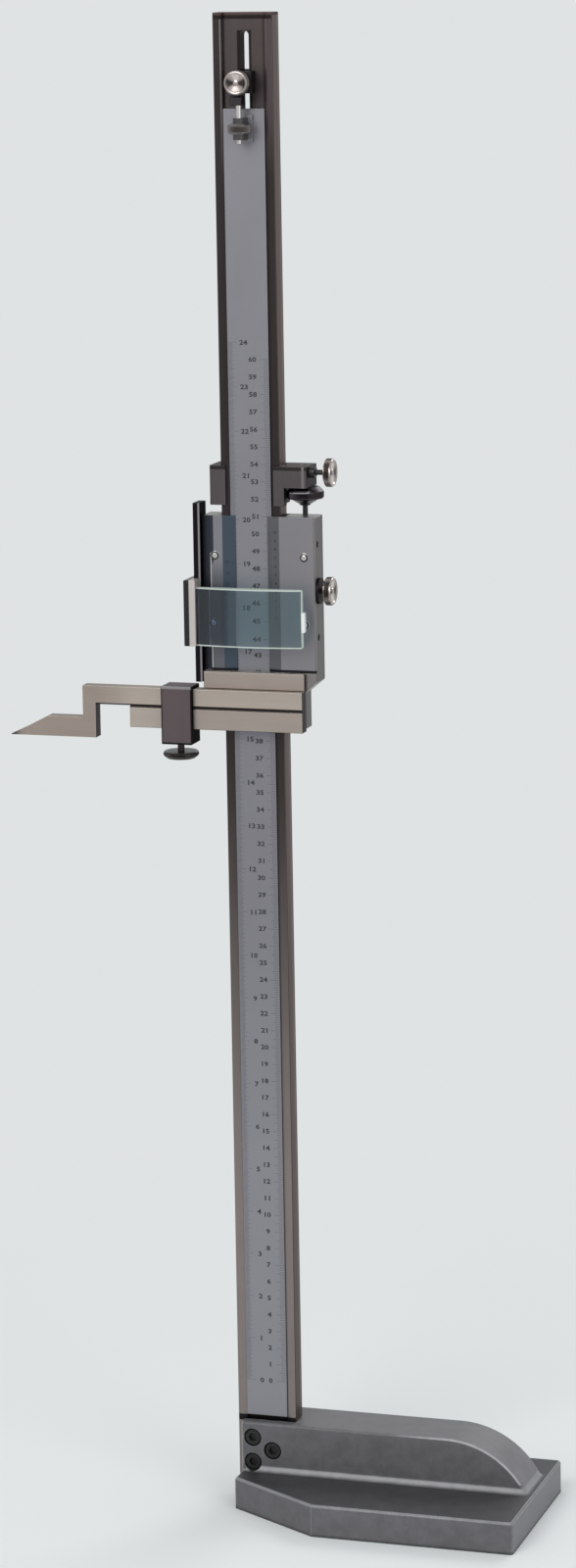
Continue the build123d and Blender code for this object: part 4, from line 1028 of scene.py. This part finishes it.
wheel(
    "scriber_clamp_wheel", "scriber_clamp_screw",
    [(0, 0.3), (3.0, 0.3), (3.6, 0), (8.3, 0), (10.0, 1.5), (10.0, 3.6), (9.5, 4.0), (2.0, 4.0),
     (2.0, 14.9), (1.7, 15.2), (0, 15.2)],
    10.3, 1.5, 3.6, "clamp_dark",
)

# --- screws ---


def slotted_screw(head, height, shank, length, slot=0.6, depth=0.6, edge=0.3, dome=0.0):
    """Screw on its seat at the origin: a slotted head, flat or domed, above a plain shank."""
    floor = height - depth
    crown = [(head / 2, floor - 0.05), (head / 2, height - edge), (head / 2 - edge, height)]
    if dome:
        shares = (1.0, 0.94, 0.82, 0.66, 0.5, 0.34)
        crown[1:] = [(head / 2 * share, height - dome * share**2) for share in shares]
    shape = turned(
        [(0, -length), (shank / 2 - 0.2, -length), (shank / 2, 0.2 - length), (shank / 2, 0),
         (head / 2, 0), (head / 2, floor), (0, floor)],
        steps=28,
    )
    radial = shape.verts.layers.float["radial"]
    start = math.asin(slot / head)
    steps = 12
    for side in (1, -1):
        loops = []
        for radius, level in crown:
            loop = []
            for step in range(steps + 1):
                angle = start + (math.pi - 2 * start) * step / steps
                across = max(slot / 2, radius * math.sin(angle))
                corner = (side * radius * math.cos(angle), side * across, level)
                loop.append(shape.verts.new(corner))
                loop[-1][radial] = radius
            loops.append(loop)
        shape.faces.new(loops[0])
        shape.faces.new(loops[-1])
        for low, high in zip(loops, loops[1:]):
            wall(shape, low, high)
    return shape


def socket_screw(length):
    """Screw with a hexagon socket, on its seat at the origin."""
    head, height, shank, hexagon, depth = 7.0, 1.6, 4.0, 3.0, 1.2
    steps = 24
    shape = turned(
        [(0, -length), (shank / 2 - 0.2, -length), (shank / 2, 0.2 - length), (shank / 2, 0),
         (head / 2, 0), (head / 2, height - 0.2), (head / 2 - 0.2, height)],
        steps,
    )
    shape.verts.ensure_lookup_table()
    rim = list(shape.verts)[-steps:]
    for level in (height, height - depth):
        loop = []
        for step in range(steps):
            angle = 2 * math.pi * step / steps
            from_flat = (angle + math.pi / 6) % (math.pi / 3) - math.pi / 6
            radius = hexagon / 2 / math.cos(from_flat)
            across, up = radius * math.cos(angle), radius * math.sin(angle)
            loop.append(shape.verts.new((across, up, level)))
        wall(shape, rim, loop)
        rim = loop
    shape.faces.new(rim)
    return shape


def fit_screws(name, body, screw, out, face, across, up, finish, seed, *nodes):
    """Sets one kind of screw out in rows on a face, which is this many mm out from the middle."""
    pattern = linked("screw", from_bmesh("screw", screw))
    points = bpy.data.meshes.new("places")
    points.from_pydata([(x, y, 0) for x in across for y in up], [], [])
    mesh = screw_tree.grown(finish, start=points, Screw=pattern, Seed=seed)
    bpy.data.objects.remove(pattern)
    mesh.transform(laid_on(Vector(out) * face, out))
    put(name, mesh, finish, body, *nodes)


fit_screws(
    "vernier_plate_screws", "slider", slotted_screw(5.2, 0.9, 2.6, 4.5, depth=0.7, dome=0.65),
    to_front, 8.3, (-21.3, 32.0), (520.8, 559.5), "vernier_screw", 3, "vernier_screws",
)
fit_screws(
    "gib_grub_screws", "slider", slotted_screw(4.0, 1.0, 4.0, 16.4, slot=0.7, depth=0.8, edge=0.2),
    to_right, 36.2, (-2.0,), (513.0, 566.5), "black_screw", 5, "gib_screws",
)
fit_screws(
    "rail_plate_screws", "slider", slotted_screw(5.0, 2.0, 3.0, 8.0, slot=0.8, depth=0.9, edge=0.2),
    to_left, 31.2, (3.0,), (500.0, 575.0), "black_screw", 7, "rail_screws",
)
fit_screws(
    "side_plate_slotted_screws", "magnifier", slotted_screw(4.0, 1.2, 2.5, 3.9, edge=0.15),
    to_left, 35.5, (13.8,), (515.5, 539.5), "bright_screw", 9, "side_plate_screws",
)
fit_screws(
    "bracket_slotted_screws", "main_scale",
    slotted_screw(3.2, 1.2, 2.0, 2.7, slot=0.5, depth=0.5, edge=0.15),
    to_front, 6.8, (-3.5, 3.5), (803.1,), "bright_screw", 11, "scale_bracket_screws",
)
slider_back = 7.0
for name, length, across, up, seed, *nodes in (
    ("jaw_socket_screws", 20.2, (23.5, -24.8), (465.65,), 13),
    ("bar_socket_screws", 17.2, (23.5, -24.8), (487.75,), 15, "bar_screws"),
    ("back_plate_socket_screws", 6.0, (23.5, -34.0), (505.0, 572.0), 17, "back_plate_screws"),
):
    screw = socket_screw(length)
    fit_screws(
        name, "slider", screw, to_rear, slider_back, across, up, "black_screw", seed, *nodes
    )

for name, body, finish, corner, way, length, radius, pitch in (
    ("carrier_clamp_thread", "carrier_clamp_screw", "black_screw", (37.9, -1.5, 607.8),
     (to_right,), 4.6, 1.5, 0.6),
    ("stud_thread", "scale_anchor", "bright_screw", (0, -15, 794.8), upright, 20.5, 1.475, 0.5),
    ("feed_thread", "slider", "black_screw", (29.4, 4.0, 582.6), upright, 5.4, 1.475, 0.5),
    ("scriber_clamp_thread", "scriber_clamp_screw", "black_screw", (-42.75, -12.45, 446.2),
     upright, 4.4, 2.0, 0.7),
):
    ridge = thread_tree.grown(
        finish, Radius=radius - pitch * 0.2, Pitch=pitch, Length=length, Ridge=pitch * 0.3
    )
    ridge.transform(laid_on(corner, *way))
    put(name, ridge, finish, body)

# --- magnifier lens ---


def ground_lens():
    """Plano-convex lens with rounded right corners: clear faces, and a frosted rim and edge."""
    low, high, middle = span("magnifier_lens")
    back, edge, bulge, corner, frosted = high.y, 2.5, 4.0, 1.0, 0.7
    half_wide, half_high = (high.x - low.x) / 2, (high.z - low.z) / 2
    radius = (half_wide**2 + half_high**2 + bulge**2) / (2 * bulge)
    wide, high_up, turns = 42, 24, 6  # steps across, up and round a corner
    clear = 2 * half_wide - frosted - corner
    inner = [low.x + frosted + clear * step / wide for step in range(wide + 1)]
    arc = [
        high.x - corner * (1 - math.sin(math.pi / 2 * step / turns)) for step in range(1, turns + 1)
    ]
    columns = [low.x, *inner, *arc]
    clear = 1 - frosted / half_high
    rows = [-1, *((2 * step / high_up - 1) * clear for step in range(high_up + 1)), 1]
    shape = bmesh.new()
    sheets = []
    for front in (True, False):
        grid = []
        for x in columns:
            past = max(0, x - (high.x - corner))
            room = half_high - corner + math.sqrt(max(0, corner**2 - past**2))
            line = []
            for share in rows:
                z = middle.z + room * share
                swell = math.sqrt(radius**2 - (x - middle.x) ** 2 - (z - middle.z) ** 2) - radius
                line.append(shape.verts.new((x, back - edge - bulge - swell if front else back, z)))
            grid.append(line)
        sheets.append(grid)
    across, up = len(columns) - 1, len(rows) - 1
    for grid in sheets:
        for column in range(across):
            for row in range(up):
                left, right = grid[column], grid[column + 1]
                face = shape.faces.new((left[row], right[row], right[row + 1], left[row + 1]))
                on_rim = row in (0, up - 1) or column >= across - 3
                face.material_index = int(on_rim and grid is sheets[0])
    border = [(0, row) for row in range(up + 1)] + [(column, up) for column in range(1, across + 1)]
    border += [(across, row) for row in range(up - 1, -1, -1)]
    border += [(column, 0) for column in range(across - 1, 0, -1)]
    wall(shape, *([sheet[column][row] for column, row in border] for sheet in sheets), material=1)
    mesh = from_bmesh("lens", shape, Matrix.Scale(mm, 4), sharp=40)
    mesh.materials.append(finishes["lens_glass"])
    mesh.materials.append(finishes["lens_edge"])
    put("magnifier_glass", mesh, "lens_glass", "magnifier", "magnifier_lens")


ground_lens()

# --- floor, backdrop and light ---

backdrop = (0.745, 0.765, 0.772)


def rays_that_see(nodes):
    """1 for rays from the camera, off metal or through glass; 0 for those that light surfaces."""
    camera = nodes.add("ShaderNodeLightPath", output="Is Camera Ray")
    glossy, through = (nodes.also(camera, f"Is {kind} Ray") for kind in ("Glossy", "Transmission"))
    return camera.largest(glossy).largest(through)


def light_the_studio():
    world = bpy.data.worlds.new("studio")
    bpy.context.scene.world = world
    world.use_nodes = True
    nodes = Nodes(world.node_tree)
    sky = world.node_tree.nodes["Background"]
    nodes.feed(sky.inputs["Strength"], rays_that_see(nodes) * 0.3 + 0.7)
    nodes.feed(sky.inputs["Color"], (*backdrop, 1))
    for name, place, size, power in (
        ("key", (-0.6, -2.5, 2.1), 1.8, 34),
        ("fill", (2.2, -1.6, 1.3), 1.6, 14),
        ("rim", (0.6, 2.0, 2.0), 1.4, 14),
    ):
        lamp = bpy.data.lights.new(name, "AREA")
        lamp.shape = "DISK"
        lamp.size = size
        lamp.energy = power
        holder = linked(name, lamp)
        holder.location = place
        aim = Vector((0, 0, 0.45)) - holder.location
        holder.rotation_euler = aim.to_track_quat("-Z", "Y").to_euler()


def lay_the_floor():
    """Pale floor that keeps the shadow near the base and fades into the backdrop further out."""
    finish = Finish("floor", Roughness=0.9)
    finish.set(Base_Color=finish.blend(finish.noise(400), (0.86, 0.88, 0.885), (0.88, 0.90, 0.905)))
    length = {"operation": "LENGTH"}
    far = finish.add("ShaderNodeVectorMath", length, {0: finish.place}, output="Value")
    fade = finish.rise(far, 0.22, 0.75) * rays_that_see(finish)
    glow = finish.add("ShaderNodeEmission", sockets={"Color": (*backdrop, 1), "Strength": 1.0})
    plain = Wire(finish, finish.shader.outputs[0])
    mixed = finish.add("ShaderNodeMixShader", sockets={0: fade, 1: plain, 2: glow})
    surface = finish.tree.nodes["Material Output"].inputs["Surface"]
    finish.feed(surface, mixed)
    mesh = bpy.data.meshes.new("floor")
    reach = 12
    corners = [(-reach, -reach, 0), (reach, -reach, 0), (reach, reach, 0), (-reach, reach, 0)]
    mesh.from_pydata(corners, [], [(0, 1, 2, 3)])
    mesh.materials.append(finish.material)
    floor = linked("floor", mesh)


light_the_studio()
lay_the_floor()
bpy.context.scene.view_settings.view_transform = "Standard"
